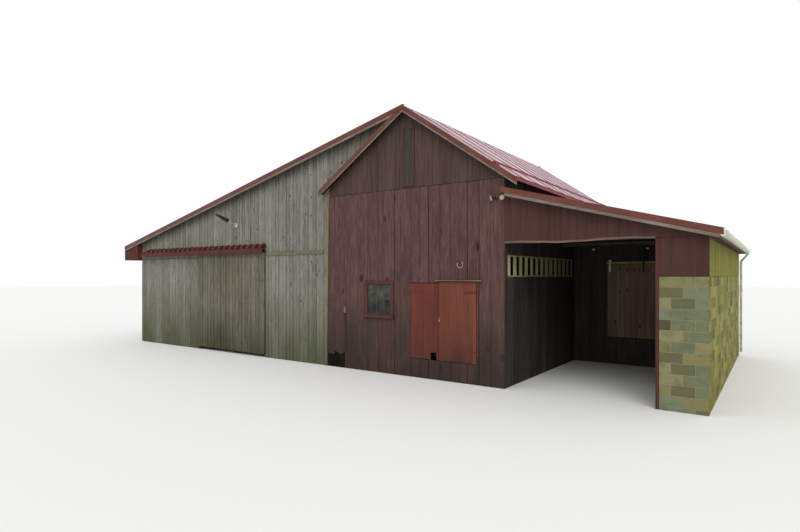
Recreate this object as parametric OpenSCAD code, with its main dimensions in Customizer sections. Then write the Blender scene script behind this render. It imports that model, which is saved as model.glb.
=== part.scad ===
// Barn in three bays under one roofline: a red gabled middle bay, a long grey wing on the left
// and an open shed on the right. X runs along the front, Y runs to the back, Z is up.
// The origin is under the front sill's centre line, below the ridge, at the lowest ground.

/* [Bays] */
// Width of the red gabled bay over its boards
red_w = 5260; // [4600:10:6000]
// Width of the grey wing left of it
wing_w = 9800; // [9400:10:11000]
// Width of the shed right of it
shed_w = 3970; // [3800:10:4600]
// Depth between the centre lines of the front and rear sills
barn_d = 8800; // [8200:10:10400]

/* [Roofs] */
// Height of the roof's surface at the ridge
ridge_z = 6760; // [6700:10:7200]
// Rise over run of the steep gable roof on the right
main_pitch = 0.7; // [0.69:0.01:0.74]
// Rise over run of the wing's long roof
wing_pitch = 0.235; // [0.22:0.005:0.25]
// Rise over run of the old steep slope under the wing's roof
old_pitch = 0.66; // [0.62:0.01:0.7]
// Rise over run of the shed's roof
shed_pitch = 0.2655; // [0.24:0.0005:0.28]
// How far the shed roof starts below the ridge, at the red bay's wall
shed_drop = 2272; // [2200:2:2310]
// Upright thickness of the roof sheets and boards
roof_t = 45; // [35:5:60]
// Overhang of every roof past the front and rear boards
rake_over = 200; // [150:10:300]
// Overhang of the steep roof at its right eave
main_over = 370; // [300:10:450]
// Overhang of the old steep roof at its left edge
old_over = 260; // [200:10:320]
// Overhang of the wing's roof at its left eave
wing_over = 900; // [600:10:1000]
// Overhang of the shed's roof at its right eave
shed_over = 240; // [200:5:300]
// Height of the red metal trim on the roof edges
trim_h = 125; // [100:5:130]
// Height of the pale board that shows under the trim of the steep slopes
rake_show = 40; // [30:5:60]
// Height of the pale board that shows under the trim of the wing and of the shed
low_show = 60; // [50:5:80]

/* [Walls and frame] */
// Thickness of the wall boards
board_t = 30; // [22:1:35]
// Width of the posts, sills and beams
post_w = 150; // [120:5:180]
// Thickness of a block wall
block_t = 194; // [140:1:240]
// How far the block walls stop below the beam over the shed's opening
block_drop = 730; // [620:10:820]
// Width of the block pier beside the shed's opening
pier_w = 827; // [620:1:1030]
// How far below the ridge the gable boards lap over the wall boards
seam_drop = 2034; // [2000:1:2060]
// How far the gable boards stand in front of the boards below
lap = 12; // [8:1:20]
// How far the underside of the belt board and of the wing door's hood lies below the ridge
belt_drop = 3620; // [3580:10:3680]
// How far the underside of the panel over the shed's opening lies below the shed roof's start
header_drop = 1238; // [1200:2:1300]

/* [Double door] */
// Left edge of the double doorway
door_x = 80; // [0:5:200]
// Width of the left leaf's share of the doorway
left_leaf_w = 829; // [700:1:850]
// Width of the right leaf's share of the doorway
right_leaf_w = 1028; // [850:1:1050]
// Height of the doorway's foot
door_z = 470; // [200:10:600]
// Height of the doorway itself
door_h = 1920; // [1800:10:2000]
// Thickness of each leaf
leaf_t = 34; // [28:1:40]

/* [Sliding doors] */
// Width of the wing's sliding door
slide_w = 3480; // [3200:10:3500]
// Height of the sliding door's lower edge
slide_z = 80; // [50:5:150]
// Width of the shed's inner sliding door
inner_w = 1350; // [1200:10:1360]
// How far the inner door's rail lies below the panel over the shed's opening
rail_drop = 380; // [350:10:440]

/* [Window and vent] */
// Middle of the window, left of the ridge line
win_x = -895; // [-1000:5:-800]
// Width of the window's sash
win_w = 785; // [700:5:820]
// Height of the sash's lower edge
win_z = 1506; // [1450:1:1650]
// Height of the sash
win_h = 815; // [700:5:850]
// Width of the vent's board
vent_w = 358; // [300:1:400]
// Height of the vent's board
vent_h = 1480; // [1200:10:1500]

/* [Hidden] */
seat = 0.3;
gap = 8;
seam_z = ridge_z - seam_drop;
shed_z = ridge_z - shed_drop;
belt_z = ridge_z - belt_drop;
header_z = shed_z - header_drop;
block_top = header_z - block_drop;
rail_z = header_z - rail_drop;
red_l = -red_w / 2;
red_r = red_w / 2;
corner_x = red_l - 90;
wing_l = red_l - wing_w;
shed_r = red_r + shed_w;
half_post = post_w / 2;
front_y = -(half_post + board_t);
inside_y0 = -half_post + seat;
inside_y1 = barn_d + half_post - seat;
roof_y0 = front_y - rake_over;
roof_y1 = barn_d - roof_y0;

// Roof edges
trim_t = 6;
trim_lap = 90;
trim_gap = 85;
trim_up = 40;
drip_edge = 65;
cap_w = 160;
old_start = 120;
shed_edge = shed_r + shed_over;
fascia_x = shed_edge - 60;
slopes_meet = -(roof_t + 2 * seat) / (old_pitch - wing_pitch);
trim_meet = (trim_h + seat) / (old_pitch - wing_pitch);
board_meet = (trim_h + low_show + seat - trim_up) / (old_pitch - wing_pitch);
soffit_drop = 20;
soffit_z = belt_z - soffit_drop;
gutter_w = 105;
gutter_h = 110;
gutter_t = 4;
gutter_z = shed_top(shed_edge) - roof_t - gutter_h - seat;
pipe_w = 75;
pipe_out = 25;
pipe_bend = 260;
pipe_foot = 120;
strap_w = 50;

// Slats in the red bay's side wall
slat_count = 14;
slat_w = 190;
slat_drop = 250;
slat_h = 500;
slat_z1 = header_z - slat_drop;
slat_z0 = slat_z1 - slat_h;
slat_rail = 50;
slat_in = 15;

// Shed front and cross wall
jamb_w = 61;
opening_r = shed_r - pier_w - jamb_w;
cross_y = 4895;
slat_y0 = half_post + slat_in;
slat_y1 = cross_y - post_w - slat_in;

// Doors
door_split = door_x + left_leaf_w;
door_r = door_split + right_leaf_w;
door_top = door_z + door_h;
hole_w = 165;
hole_h = 180;
hole_in = 55;
barrel_r = 9;
barrel_h = 45;
barrel_y = front_y - barrel_r - 1;
strap_t = 5;
strap_l = 320;
jamb_plate = 60;
left_axis = door_x + gap / 2;
right_axis = door_r - gap / 2;
hinge_low = 220;
hinge_high = 320;
hinge_z = [door_z + hinge_low, door_top - hinge_high];
latch_w = 60;
latch_h = 90;
latch_t = 14;
latch_up = 960;
latch_z = door_z + latch_up;
drip_past = 70;
drip_out = 60;
drip_h = 26;
slide_t = 40;
slide_back = 12;
slide_in = 2680;
slide_r = red_l - slide_in;
slide_l = slide_r - slide_w;
slide_y = front_y - slide_back - slide_t;
slide_lap = 60;
slide_up = 95;
slide_top = belt_z + slide_up;
slide_travel = 3350;
inner_t = 36;
inner_in = 974;
inner_x = red_r + inner_in;
inner_y = cross_y - inner_t - slide_back;
inner_lap = 50;
inner_z = 780;
rail_up = 15;
track_h = 50;
track_t = 12;
inner_top = rail_z - rail_up;
inner_travel = 1250;
bracket_pitch = 1200;
bracket_w = 40;
run_gap = seat;
wheel_r = 35;
wheel_w = 22;
axle_r = 8;
strap_drop = 300;
hanger_in = 260;
slide_hangers = [hanger_in, slide_w - hanger_in];
inner_hangers = [65, 960];
hood_h = 305;
hood_out = 190;
hood_drop = 70;
hood_t = 12;
hood_past = 50;
lip_up = 80;

// Frame
plate_h = 150;
header_h = 135;
rafter_w = 45;
rafter_d = 185;
rafter_end = red_r - board_t - 2 * seat;
post_lines = [wing_l + board_t, slide_r - slide_lap, red_l, red_r - board_t - 2 * seat - post_w];
bay_count = 3;
line_y = [for (i = [0 : bay_count]) -half_post + i * barn_d / bay_count];
rafter_count = 8;
rafter_step = (barn_d + post_w - rafter_w - 2 * seat) / (rafter_count - 1);
rafter_y = [for (i = [0 : rafter_count - 1]) inside_y0 + i * rafter_step];
shed_rafter_step = (barn_d - rafter_w - 2 * seat) / (rafter_count - 1);
shed_rafter_y = [for (i = [0 : rafter_count - 1]) half_post + seat + i * shed_rafter_step];
shed_plate_x = shed_r - board_t - post_w - seat;
shed_plate_z = shed_under(shed_plate_x + post_w / 2);
ledger_z = shed_under(red_r + rafter_w);
tie_up = 88;
tie_h = 90;
tie_z = header_z + tie_up;
tie_end = red_r + (shed_z - roof_t - seat - tie_z - tie_h) / shed_pitch;
tie_y = [for (i = [1, 3]) shed_rafter_y[i] - rafter_w - seat];
stub_y = [for (i = [0 : bay_count]) half_post + seat + i * (barn_d - post_w - 2 * seat) / bay_count];

// Trim and fittings
strip_t = 25;
strip_foot = [-160, -90];
strip_head = [-235, -20];
belt_t = 25;
belt_h = 110;
trim_side = 78;
casing_t = 22;
reveal = 12;
sill_past = 100;
sill_out = 60;
sill_h = 95;
sash_t = 28;
sash_w = 24;
glass_in = 12;
glass_t = 4;
vent_x = 55;
vent_up = 44;
vent_z = seam_z + vent_up;
vent_side = 45;
vent_back = 6;
shoe_x = 1510;
shoe_up = 397;
shoe_z = door_top + shoe_up;
shoe_r = 60;
shoe_w = 22;
shoe_t = 10;
shoe_turn = 215;
flood_x = 2490;
flood_drop = 414;
flood_z = seam_z - flood_drop;
flood_box = 90;
flood_l = 90;
flood_r = 58;
yard_x = -6700;
yard_up = 1010;
yard_z = belt_z + yard_up;
yard_base_r = 70;
yard_base_t = 40;
yard_tilt = 20;
yard_arm = 380;
yard_arm_r = 20;
yard_head = 480;
yard_head_r = 70;
yard_tip_r = 28;
lamp_x = [3504, 4869];
lamp_neck_h = 50;
lamp_neck_r = 24;
lamp_cap_h = 22;
lamp_cap_r = 85;
lamp_r = 36;

// Heights of each roof's surface, of what stands under it and of its rafters' underside
function main_top(x) = ridge_z - main_pitch * abs(x);
function old_top(x) = ridge_z - old_pitch * abs(x);
function wing_top(x) = ridge_z - wing_pitch * abs(x);
function shed_top(x) = shed_z - shed_pitch * (x - red_r);
function main_soffit(x) = main_top(x) - roof_t - seat;
function old_soffit(x) = old_top(x) - roof_t - seat;
function wing_soffit(x) = wing_top(x) - roof_t - seat;
function shed_soffit(x) = shed_top(x) - roof_t - seat;
function main_under(x) = main_top(x) - roof_t - rafter_d;
function old_under(x) = old_top(x) - roof_t - rafter_d;
function wing_under(x) = wing_top(x) - roof_t - rafter_d;
function shed_under(x) = shed_top(x) - roof_t - rafter_d;

// Height of each plate's underside, on the lines of posts from left to right
function plate_z(line) =
    line == 0 ? wing_under(post_lines[0] + post_w) - plate_h :
    line == 1 ? wing_under(post_lines[1] + post_w) - plate_h :
    line == 2 ? old_under(rafter_end - post_w) - plate_h :
    main_under(rafter_end - post_w) - plate_h;

// A box between two corners
module slab(x0, x1, y0, y1, z0, z1) {
    translate([x0, y0, z0]) cube([x1 - x0, y1 - y0, z1 - z0]);
}

// An outline in X and Z, drawn out from y0 to y1
module run(y0, y1, outline) {
    translate([0, y1, 0]) rotate([90, 0, 0]) linear_extrude(y1 - y0) polygon(outline);
}

// An outline in Y and Z, drawn out from x0 to x1
module run_x(x0, x1, outline) {
    translate([x0, 0, 0]) rotate([90, 0, 90]) linear_extrude(x1 - x0) polygon(outline);
}

// A piece of the front wall again at the rear
module at_rear() {
    translate([0, barn_d, 0]) mirror([0, 1, 0]) children();
}
module front_and_rear() {
    children();
    at_rear() children();
}

// A box of the front wall's boards
module boards(x0, x1, z0, z1) {
    slab(x0, x1, front_y, -half_post, z0, z1);
}

// Four strips of width w around an upright rectangle, from its outer edges
module ring(x0, x1, z0, z1, w, y0, y1) {
    for (x = [x0, x1 - w])
        slab(x, x + w, y0, y1, z0, z1);
    for (z = [z0, z1 - w])
        slab(x0 + w + seat, x1 - w - seat, y0, y1, z, z + w);
}

// Red bay: front boards on all sides of the double doorway and of the window
module red_front_wall() {
    color("#5c4644") {
        boards(corner_x, win_x - win_w / 2, 0, seam_z);
        boards(win_x - win_w / 2 + seat, win_x + win_w / 2 - seat, 0, win_z);
        boards(win_x - win_w / 2 + seat, win_x + win_w / 2 - seat, win_z + win_h, seam_z);
        boards(win_x + win_w / 2, door_x - seat, 0, seam_z);
        boards(door_x, door_r, 0, door_z);
        boards(door_x, door_r, door_top, seam_z);
        boards(door_r + seat, red_r, 0, seam_z);
    }
}

// The gable boards lap over the boards below
module gable_boards() {
    run(front_y - lap, -half_post, [
        [red_l, seam_z + seat],
        [red_r, seam_z + seat],
        [red_r, main_soffit(red_r)],
        [0, main_soffit(0)],
        [red_l, old_soffit(red_l)]
    ]);
}
module gable_wall() {
    color("#5a4341") gable_boards();
}
module red_rear_wall() {
    color("#5c4644") at_rear() {
        boards(corner_x, red_r, 0, seam_z);
        gable_boards();
    }
}

// The red bay's right side, inside the shed, open as slats along the front bay
module side_wall() {
    x1 = red_r - seat;
    x0 = x1 - board_t;
    color("#3f3431") {
        slab(x0, x1, inside_y0, inside_y1, 0, slat_z0 - seat);
        slab(x0, x1, inside_y0, inside_y1, slat_z1 + seat, main_soffit(x1));
        slab(x0, x1, slat_y1 + seat, inside_y1, slat_z0, slat_z1);
        slab(x0, x1, inside_y0, slat_y0 - seat, slat_z0, slat_z1);
    }
}
module slat_band() {
    x1 = red_r - seat;
    x0 = x1 - board_t;
    step = (slat_y1 - slat_y0 - slat_w) / (slat_count - 1);
    color("#8f8d62") {
        slab(x0, x1, slat_y0, slat_y1, slat_z0, slat_z0 + slat_rail);
        slab(x0, x1, slat_y0, slat_y1, slat_z1 - slat_rail, slat_z1);
        for (i = [0 : slat_count - 1])
            translate([0, slat_y0 + i * step, 0])
                slab(x0, x1, 0, slat_w, slat_z0 + slat_rail + seat, slat_z1 - slat_rail - seat);
    }
}

// Wing boards from z0 up to the long roof, the strip above the red boards' corner, and the corner
// that runs out over the old roof
module wing_upper(z0) {
    run(front_y, -half_post, [
        [wing_l, z0],
        [corner_x - seat, z0],
        [corner_x - seat, wing_soffit(corner_x - seat)],
        [wing_l, wing_soffit(wing_l)]
    ]);
    run(front_y, -half_post, [
        [corner_x, seam_z + seat],
        [red_l - seat, seam_z + seat],
        [red_l - seat, wing_soffit(red_l - seat)],
        [corner_x, wing_soffit(corner_x)]
    ]);
    run(front_y, -half_post, [
        [red_l, old_top(red_l) + seat],
        [slopes_meet, old_top(slopes_meet) + seat],
        [slopes_meet, wing_soffit(slopes_meet)],
        [red_l, wing_soffit(red_l)]
    ]);
}
module wing_front_wall() {
    color("#82807a") {
        boards(wing_l, slide_l + slide_lap, 0, belt_z);
        boards(slide_r - slide_lap, corner_x - seat, 0, belt_z);
        wing_upper(belt_z + seat);
    }
}
module wing_rear_wall() {
    color("#82807a") at_rear() wing_upper(0);
}
module wing_side_wall() {
    color("#7d7a70")
        slab(wing_l, wing_l + board_t, inside_y0, inside_y1, 0, wing_soffit(wing_l));
}

// Shed: the panel over the opening and the panel on the pier
module shed_front_wall() {
    color("#6b3f3a") {
        run(front_y, -half_post, [
            [red_r + seat, header_z],
            [shed_r, header_z],
            [shed_r, shed_soffit(shed_r)],
            [red_r + seat, shed_soffit(red_r + seat)]
        ]);
        boards(opening_r + jamb_w + seat, shed_r, block_top + seat, header_z - seat);
    }
}
module block_walls() {
    color("#9a9382") {
        slab(opening_r + jamb_w + seat, shed_r, front_y, front_y + block_t, 0, block_top);
        slab(shed_r - block_t, shed_r, front_y + block_t + seat, inside_y1, 0, block_top);
    }
}
module shed_side_boards() {
    color("#9c9a4e")
        slab(shed_r - board_t, shed_r, inside_y0, inside_y1, block_top + seat, shed_soffit(shed_r));
}
module shed_rear_wall() {
    color("#5c4644") at_rear() run(front_y, -half_post, [
        [red_r + seat, 0],
        [shed_r, 0],
        [shed_r, shed_soffit(shed_r)],
        [red_r + seat, shed_soffit(red_r + seat)]
    ]);
}

// The wall across the shed, open behind the inner door and notched around the ledger
module cross_wall() {
    x0 = red_r + seat;
    x1 = shed_r - block_t - seat;
    hole_l = inner_x + inner_lap;
    hole_r = inner_x + inner_w - inner_lap;
    hole_top = inner_top - inner_lap;
    color("#2e2b26") {
        slab(x0, hole_l - seat, cross_y, cross_y + board_t, 0, hole_top);
        slab(hole_r + seat, x1, cross_y, cross_y + board_t, 0, hole_top);
        slab(hole_l, hole_r, cross_y, cross_y + board_t, 0, inner_z + inner_lap);
        difference() {
            run(cross_y, cross_y + board_t, [
                [x0, hole_top + seat],
                [x1, hole_top + seat],
                [x1, shed_under(x1) - seat],
                [x0, shed_under(x0) - seat]
            ]);
            slab(red_r, red_r + rafter_w + seat, cross_y - 1, cross_y + board_t + 1,
                ledger_z - plate_h - seat, ledger_z + plate_h);
        }
    }
}

// Timber frame: sills on the ground, posts on them, beams and plates on the posts
module sills() {
    color("#6a6152") {
        slab(wing_l + board_t, slide_l + slide_lap, -half_post, half_post, 0, post_w);
        slab(slide_r - slide_lap, red_r - board_t - seat, -half_post, half_post, 0, post_w);
        slab(wing_l + board_t, red_r - board_t - seat, barn_d - half_post, barn_d + half_post, 0, post_w);
        for (x = [wing_l + board_t, red_r - board_t - seat - post_w])
            slab(x, x + post_w, half_post + seat, barn_d - half_post - seat, 0, post_w);
    }
}

// A post on a sill, from its left and front edges
module post(x, y, z0, z1) {
    slab(x, x + post_w, y, y + post_w, z0 + seat, z1 - seat);
}
module posts() {
    color("#6a6152") {
        for (y = line_y) {
            on_sill = y < 0 || y > barn_d - post_w;
            post(post_lines[0], y, post_w, plate_z(0));
            post(post_lines[1], y, on_sill ? post_w : 0, plate_z(1));
            post(post_lines[2], y, on_sill ? post_w : 0, plate_z(2));
            post(post_lines[3], y, post_w, plate_z(3));
        }
        post(slide_l + slide_lap - post_w, -half_post, post_w, belt_z);
        post(door_x - post_w - seat, -half_post, post_w, seam_z - plate_h);
        post(door_r + seat, -half_post, post_w, seam_z - plate_h);
        slab(opening_r, opening_r + jamb_w, front_y, half_post, 0, header_z - seat);
        for (y = stub_y)
            slab(shed_plate_x, shed_plate_x + post_w, y, y + post_w,
                block_top + seat, shed_plate_z - plate_h - seat);
    }
}
module beams() {
    color("#6f6656") {
        for (i = [0 : 3])
            slab(post_lines[i], post_lines[i] + post_w, inside_y0, inside_y1,
                plate_z(i), plate_z(i) + plate_h);
        slab(red_l + post_w + seat, post_lines[3] - seat, -half_post, half_post,
            seam_z - plate_h, seam_z);
        slab(post_lines[0] + post_w + seat, post_lines[1] - seat, -half_post, half_post,
            belt_z, belt_z + plate_h);
        slab(red_r + seat, shed_r - board_t - seat, -half_post, half_post,
            header_z, header_z + header_h);
        slab(shed_plate_x, shed_plate_x + post_w, half_post + seat, inside_y1,
            shed_plate_z - plate_h, shed_plate_z);
        slab(red_r + seat, red_r + rafter_w, half_post + seat, inside_y1,
            ledger_z - plate_h, ledger_z);
        for (y = tie_y)
            slab(red_r + seat, tie_end, y, y + rafter_w, tie_z, tie_z + tie_h);
    }
}

// A pair of rafters of the red bay, a rafter of the wing and a rafter of the shed
module red_pair() {
    run(0, rafter_w, [
        [-seat, old_soffit(seat)],
        [-rafter_end, old_soffit(rafter_end)],
        [-rafter_end, old_under(rafter_end)],
        [-seat, old_under(seat)]
    ]);
    run(0, rafter_w, [
        [seat, main_soffit(seat)],
        [rafter_end, main_soffit(rafter_end)],
        [rafter_end, main_under(rafter_end)],
        [seat, main_under(seat)]
    ]);
}
module wing_rafter() {
    x_end = -(roof_t + rafter_d + seat) / (old_pitch - wing_pitch);
    run(0, rafter_w, [
        [wing_l + board_t + seat, wing_soffit(wing_l + board_t + seat)],
        [wing_l + board_t + seat, wing_under(wing_l + board_t + seat)],
        [x_end, wing_under(x_end)],
        [slopes_meet, wing_soffit(slopes_meet)]
    ]);
}
module shed_rafter() {
    x0 = red_r + seat;
    x1 = shed_r - board_t - seat;
    run(0, rafter_w, [
        [x0, shed_soffit(x0)],
        [x1, shed_soffit(x1)],
        [x1, shed_under(x1)],
        [x0, shed_under(x0)]
    ]);
}
module rafters() {
    color("#776d5a") difference() {
        union() {
            for (y = rafter_y) {
                translate([0, y, 0]) red_pair();
                translate([0, y, 0]) wing_rafter();
            }
            for (y = shed_rafter_y)
                translate([0, y, 0]) shed_rafter();
        }
        for (i = [0 : 3])
            slab(post_lines[i] - seat, post_lines[i] + post_w + seat, 0 - post_w, barn_d + post_w,
                plate_z(i) - post_w, plate_z(i) + plate_h);
        slab(shed_plate_x - seat, shed_plate_x + post_w + seat, 0, barn_d + post_w,
            shed_plate_z - post_w, shed_plate_z);
        slab(red_r, red_r + rafter_w, 0, barn_d + post_w, ledger_z - post_w, ledger_z);
    }
}

// Roof slopes
module main_roof() {
    x1 = red_r + main_over;
    color("#a05a58") run(roof_y0, roof_y1, [
        [0, ridge_z],
        [x1, main_top(x1)],
        [x1, main_top(x1) - roof_t],
        [0, ridge_z - roof_t]
    ]);
}
module old_slope(y0, y1, x0, x1) {
    run(y0, y1, [
        [x0, old_top(x0)],
        [x1, old_top(x1)],
        [x1, old_top(x1) - roof_t],
        [x0, old_top(x0) - roof_t]
    ]);
}
module old_roof() {
    y0 = roof_y0 + board_t + seat;
    color("#7a4a46") {
        old_slope(y0, barn_d - y0, red_l, -old_start);
        front_and_rear() old_slope(y0, front_y - seat, red_l - old_over, red_l - seat);
    }
}
module wing_roof() {
    x0 = wing_l - wing_over;
    color("#a05a58") run(roof_y0, roof_y1, [
        [x0, wing_top(x0)],
        [x0, wing_top(x0) - roof_t],
        [-seat, wing_top(seat) - roof_t],
        [-seat, wing_top(seat)]
    ]);
}
module shed_roof() {
    x0 = red_r + seat;
    x1 = shed_edge;
    color("#a05a58") run(roof_y0, roof_y1, [
        [x0, shed_top(x0)],
        [x1, shed_top(x1)],
        [x1, shed_top(x1) - roof_t],
        [x0, shed_top(x0) - roof_t]
    ]);
}

// Red metal folded over the roof edges, its top up above the roof, and the cap along the ridge
module edge_trim(x0, z0, x1, z1, up) {
    run(roof_y0 - trim_t, roof_y0 - seat, [
        [x0, z0 + up],
        [x1, z1 + up],
        [x1, z1 + up - trim_h],
        [x0, z0 + up - trim_h]
    ]);
    run(roof_y0, roof_y0 + trim_lap, [
        [x0, z0 + up - trim_t + seat],
        [x0, z0 + up],
        [x1, z1 + up],
        [x1, z1 + up - trim_t + seat]
    ]);
}
module roof_trims() {
    wing_x = wing_l - wing_over;
    main_x = red_r + main_over;
    old_x = red_l - old_over;
    color("#8e2f2a") {
        front_and_rear() {
            edge_trim(wing_x, wing_top(wing_x), -seat, wing_top(seat), trim_up);
            edge_trim(0, ridge_z, main_x, main_top(main_x), trim_t);
            edge_trim(red_r + trim_gap, shed_top(red_r + trim_gap), shed_edge, shed_top(shed_edge), trim_t);
            run(roof_y0 - trim_t, roof_y0 - seat, [
                [old_x, old_top(old_x) + trim_up],
                [old_x, old_top(old_x) + trim_up - trim_h],
                [-seat, old_top(seat) + trim_up - trim_h - trim_t],
                [-seat, old_top(seat) + trim_up - trim_h - seat],
                [-trim_meet, old_top(trim_meet) + trim_up]
            ]);
            run(roof_y0, front_y - seat, [
                [old_x, old_top(old_x) + seat],
                [old_x, old_top(old_x) + trim_t],
                [red_l, old_top(red_l) + trim_t],
                [red_l, old_top(red_l) + seat]
            ]);
        }
        cap_y0 = roof_y0 + trim_lap + seat;
        run(cap_y0, barn_d - cap_y0, [
            [seat, ridge_z + seat],
            [cap_w, main_top(cap_w) + seat],
            [cap_w, main_top(cap_w) + trim_t],
            [seat, ridge_z + trim_t]
        ]);
        run(cap_y0, barn_d - cap_y0, [
            [-seat, ridge_z + seat],
            [-cap_w, wing_top(cap_w) + seat],
            [-cap_w, wing_top(cap_w) + trim_t],
            [-seat, ridge_z + trim_t]
        ]);
        slab(main_x + seat, main_x + trim_t, roof_y0, roof_y1,
            main_top(main_x) - drip_edge, main_top(main_x) + trim_t);
    }
}

// Pale boards under the trim on the gable edges and along the eaves
module edge_board(x0, z0, x1, z1, show) {
    run(roof_y0, roof_y0 + board_t, [
        [x0, z0 - roof_t - seat],
        [x1, z1 - roof_t - seat],
        [x1, z1 - trim_h - show],
        [x0, z0 - trim_h - show]
    ]);
}
module roof_edge_boards() {
    wing_x = wing_l - wing_over;
    main_x = red_r + main_over;
    old_x = red_l - old_over;
    wing_in = wing_x + board_t + seat;
    shed_out = red_r + trim_gap;
    shed_in = fascia_x - board_t - seat;
    color("#b3aea0") {
        front_and_rear() {
            edge_board(wing_in, wing_top(wing_in), -seat, wing_top(seat), low_show - trim_up);
            edge_board(seat, main_top(seat), main_x, main_top(main_x), rake_show);
            edge_board(shed_out, shed_top(shed_out), shed_in, shed_top(shed_in), low_show);
            run(roof_y0, roof_y0 + board_t, [
                [old_x, old_top(old_x)],
                [old_x, old_top(old_x) + trim_up - trim_h - rake_show],
                [-board_meet, old_top(board_meet) + trim_up - trim_h - rake_show],
                [-board_meet, old_top(board_meet)]
            ]);
        }
        slab(wing_x, wing_x + board_t, roof_y0, roof_y1,
            soffit_z, wing_soffit(wing_x));
        slab(fascia_x - board_t, fascia_x, roof_y0, roof_y1,
            gutter_z, shed_soffit(fascia_x));
    }
}

// The eaves are boxed in: flat soffits out to the eaves' boards, and closed ends on the wing's box
module eave_boxes() {
    x0 = wing_l - wing_over + board_t + seat;
    x1 = wing_l - seat;
    y0 = roof_y0 + board_t + seat;
    color("#7a3f37") {
        slab(x0, x1, y0, barn_d - y0, soffit_z, soffit_z + board_t);
        front_and_rear() {
            run(y0, y0 + board_t, [
                [x0, soffit_z + board_t + seat],
                [x1, soffit_z + board_t + seat],
                [x1, wing_soffit(x1)],
                [x0, wing_soffit(x0)]
            ]);
            slab(x1 - board_t, x1, y0 + board_t + seat, front_y, soffit_z + board_t + seat,
                wing_soffit(x1 - board_t));
        }
        slab(shed_r + seat, fascia_x - board_t - seat, y0, barn_d - y0, gutter_z, gutter_z + board_t);
    }
}

// The gutter on the shed's eave and its downspout, which bends back to the wall at the far end
module gutter() {
    x0 = fascia_x + seat;
    x1 = x0 + gutter_w;
    z0 = gutter_z;
    z1 = z0 + gutter_h;
    outlet_x = x0 + gutter_w / 2 - pipe_w / 2;
    pipe_x = shed_r + pipe_out;
    pipe_y = inside_y1 - 2 * pipe_w;
    color("#d8dcc9") {
        slab(x0, x1, roof_y0, roof_y1, z0, z0 + gutter_t);
        for (x = [x0, x1 - gutter_t])
            slab(x, x + gutter_t, roof_y0, roof_y1, z0 + gutter_t + seat, z1);
        for (y = [roof_y0, roof_y1 - gutter_t])
            slab(x0 + gutter_t + seat, x1 - gutter_t - seat, y, y + gutter_t, z0 + gutter_t + seat, z1);
        run(pipe_y, pipe_y + pipe_w, [
            [outlet_x, z0 - seat],
            [outlet_x + pipe_w, z0 - seat],
            [pipe_x + pipe_w, z0 - pipe_bend],
            [pipe_x, z0 - pipe_bend]
        ]);
        slab(pipe_x, pipe_x + pipe_w, pipe_y, pipe_y + pipe_w, pipe_foot, z0 - pipe_bend - seat);
        for (z = [block_top * 0.25, block_top * 0.75])
            slab(shed_r + seat, pipe_x - seat, pipe_y, pipe_y + pipe_w, z, z + strap_w);
    }
}

// Bare timber over the seam between the wing's and the red bay's boards, wider at the top
module corner_strip() {
    foot = [for (x = strip_foot) red_l + x];
    head = [for (x = strip_head) red_l + x];
    color("#7b6f55") run(front_y - strip_t, front_y - seat, [
        [foot[0], 0],
        [foot[1], 0],
        [head[1], old_soffit(head[1])],
        [head[0], old_soffit(head[0])]
    ]);
}

// The board that covers the break in the wing's boards
module belt_board() {
    color("#86876f")
        slab(slide_r + hood_past + gap, red_l + strip_head[0] - gap, front_y - belt_t, front_y - seat,
            belt_z, belt_z + belt_h);
}

// Window: trim on the boards, sill, sash in the hole and one sheet of glass
module window_frame() {
    x0 = win_x - win_w / 2;
    x1 = win_x + win_w / 2;
    z1 = win_z + win_h;
    color("#5a3a34") {
        for (x = [x0 - trim_side, x1 - reveal])
            slab(x, x + trim_side + reveal, front_y - casing_t, front_y - seat,
                win_z + reveal, z1 - reveal - seat);
        slab(x0 - trim_side, x1 + trim_side, front_y - casing_t, front_y - seat,
            z1 - reveal, z1 + trim_side);
        slab(x0 - sill_past, x1 + sill_past, front_y - sill_out, front_y - seat,
            win_z + reveal - sill_h, win_z + reveal - seat);
        ring(x0 + 2 * seat, x1 - 2 * seat, win_z + seat, z1 - seat, sash_w, front_y, front_y + sash_t);
    }
}
module window_glass() {
    x0 = win_x - win_w / 2 + sash_w + 3 * seat;
    x1 = win_x + win_w / 2 - sash_w - 3 * seat;
    color("#8fa0a8", 0.5)
        slab(x0, x1, front_y + glass_in, front_y + glass_in + glass_t,
            win_z + sash_w + 2 * seat, win_z + win_h - sash_w - 2 * seat);
}

// Vent board with its frame, high in the gable
module gable_vent() {
    y1 = front_y - lap - seat;
    x0 = vent_x - vent_w / 2;
    color("#4c3b39") {
        slab(x0, x0 + vent_w, y1 - vent_back, y1, vent_z, vent_z + vent_h);
        ring(x0, x0 + vent_w, vent_z, vent_z + vent_h, vent_side, y1 - casing_t, y1 - vent_back - seat);
    }
}

// A thin board that throws the rain off over the right leaf
module drip_board() {
    color("#7d7f6a")
        slab(door_split - drip_past, door_r + 2 * drip_past, front_y - drip_out, front_y - seat,
            door_top + gap, door_top + gap + drip_h);
}

// The two leaves of the double door, the left one with a hole in its lower edge
module left_leaf() {
    color("#76432f") difference() {
        slab(door_x + gap, door_split - gap / 2, front_y, front_y + leaf_t, door_z + gap, door_top - gap);
        translate([door_split - hole_in - hole_w, 0, 0])
            slab(0, hole_w, front_y - 1, front_y + leaf_t + 1, door_z, door_z + hole_h);
    }
}
module right_leaf() {
    color("#6f3d31")
        slab(door_split + gap / 2, door_r - gap, front_y, front_y + leaf_t, door_z + gap, door_top - gap);
}

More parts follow.
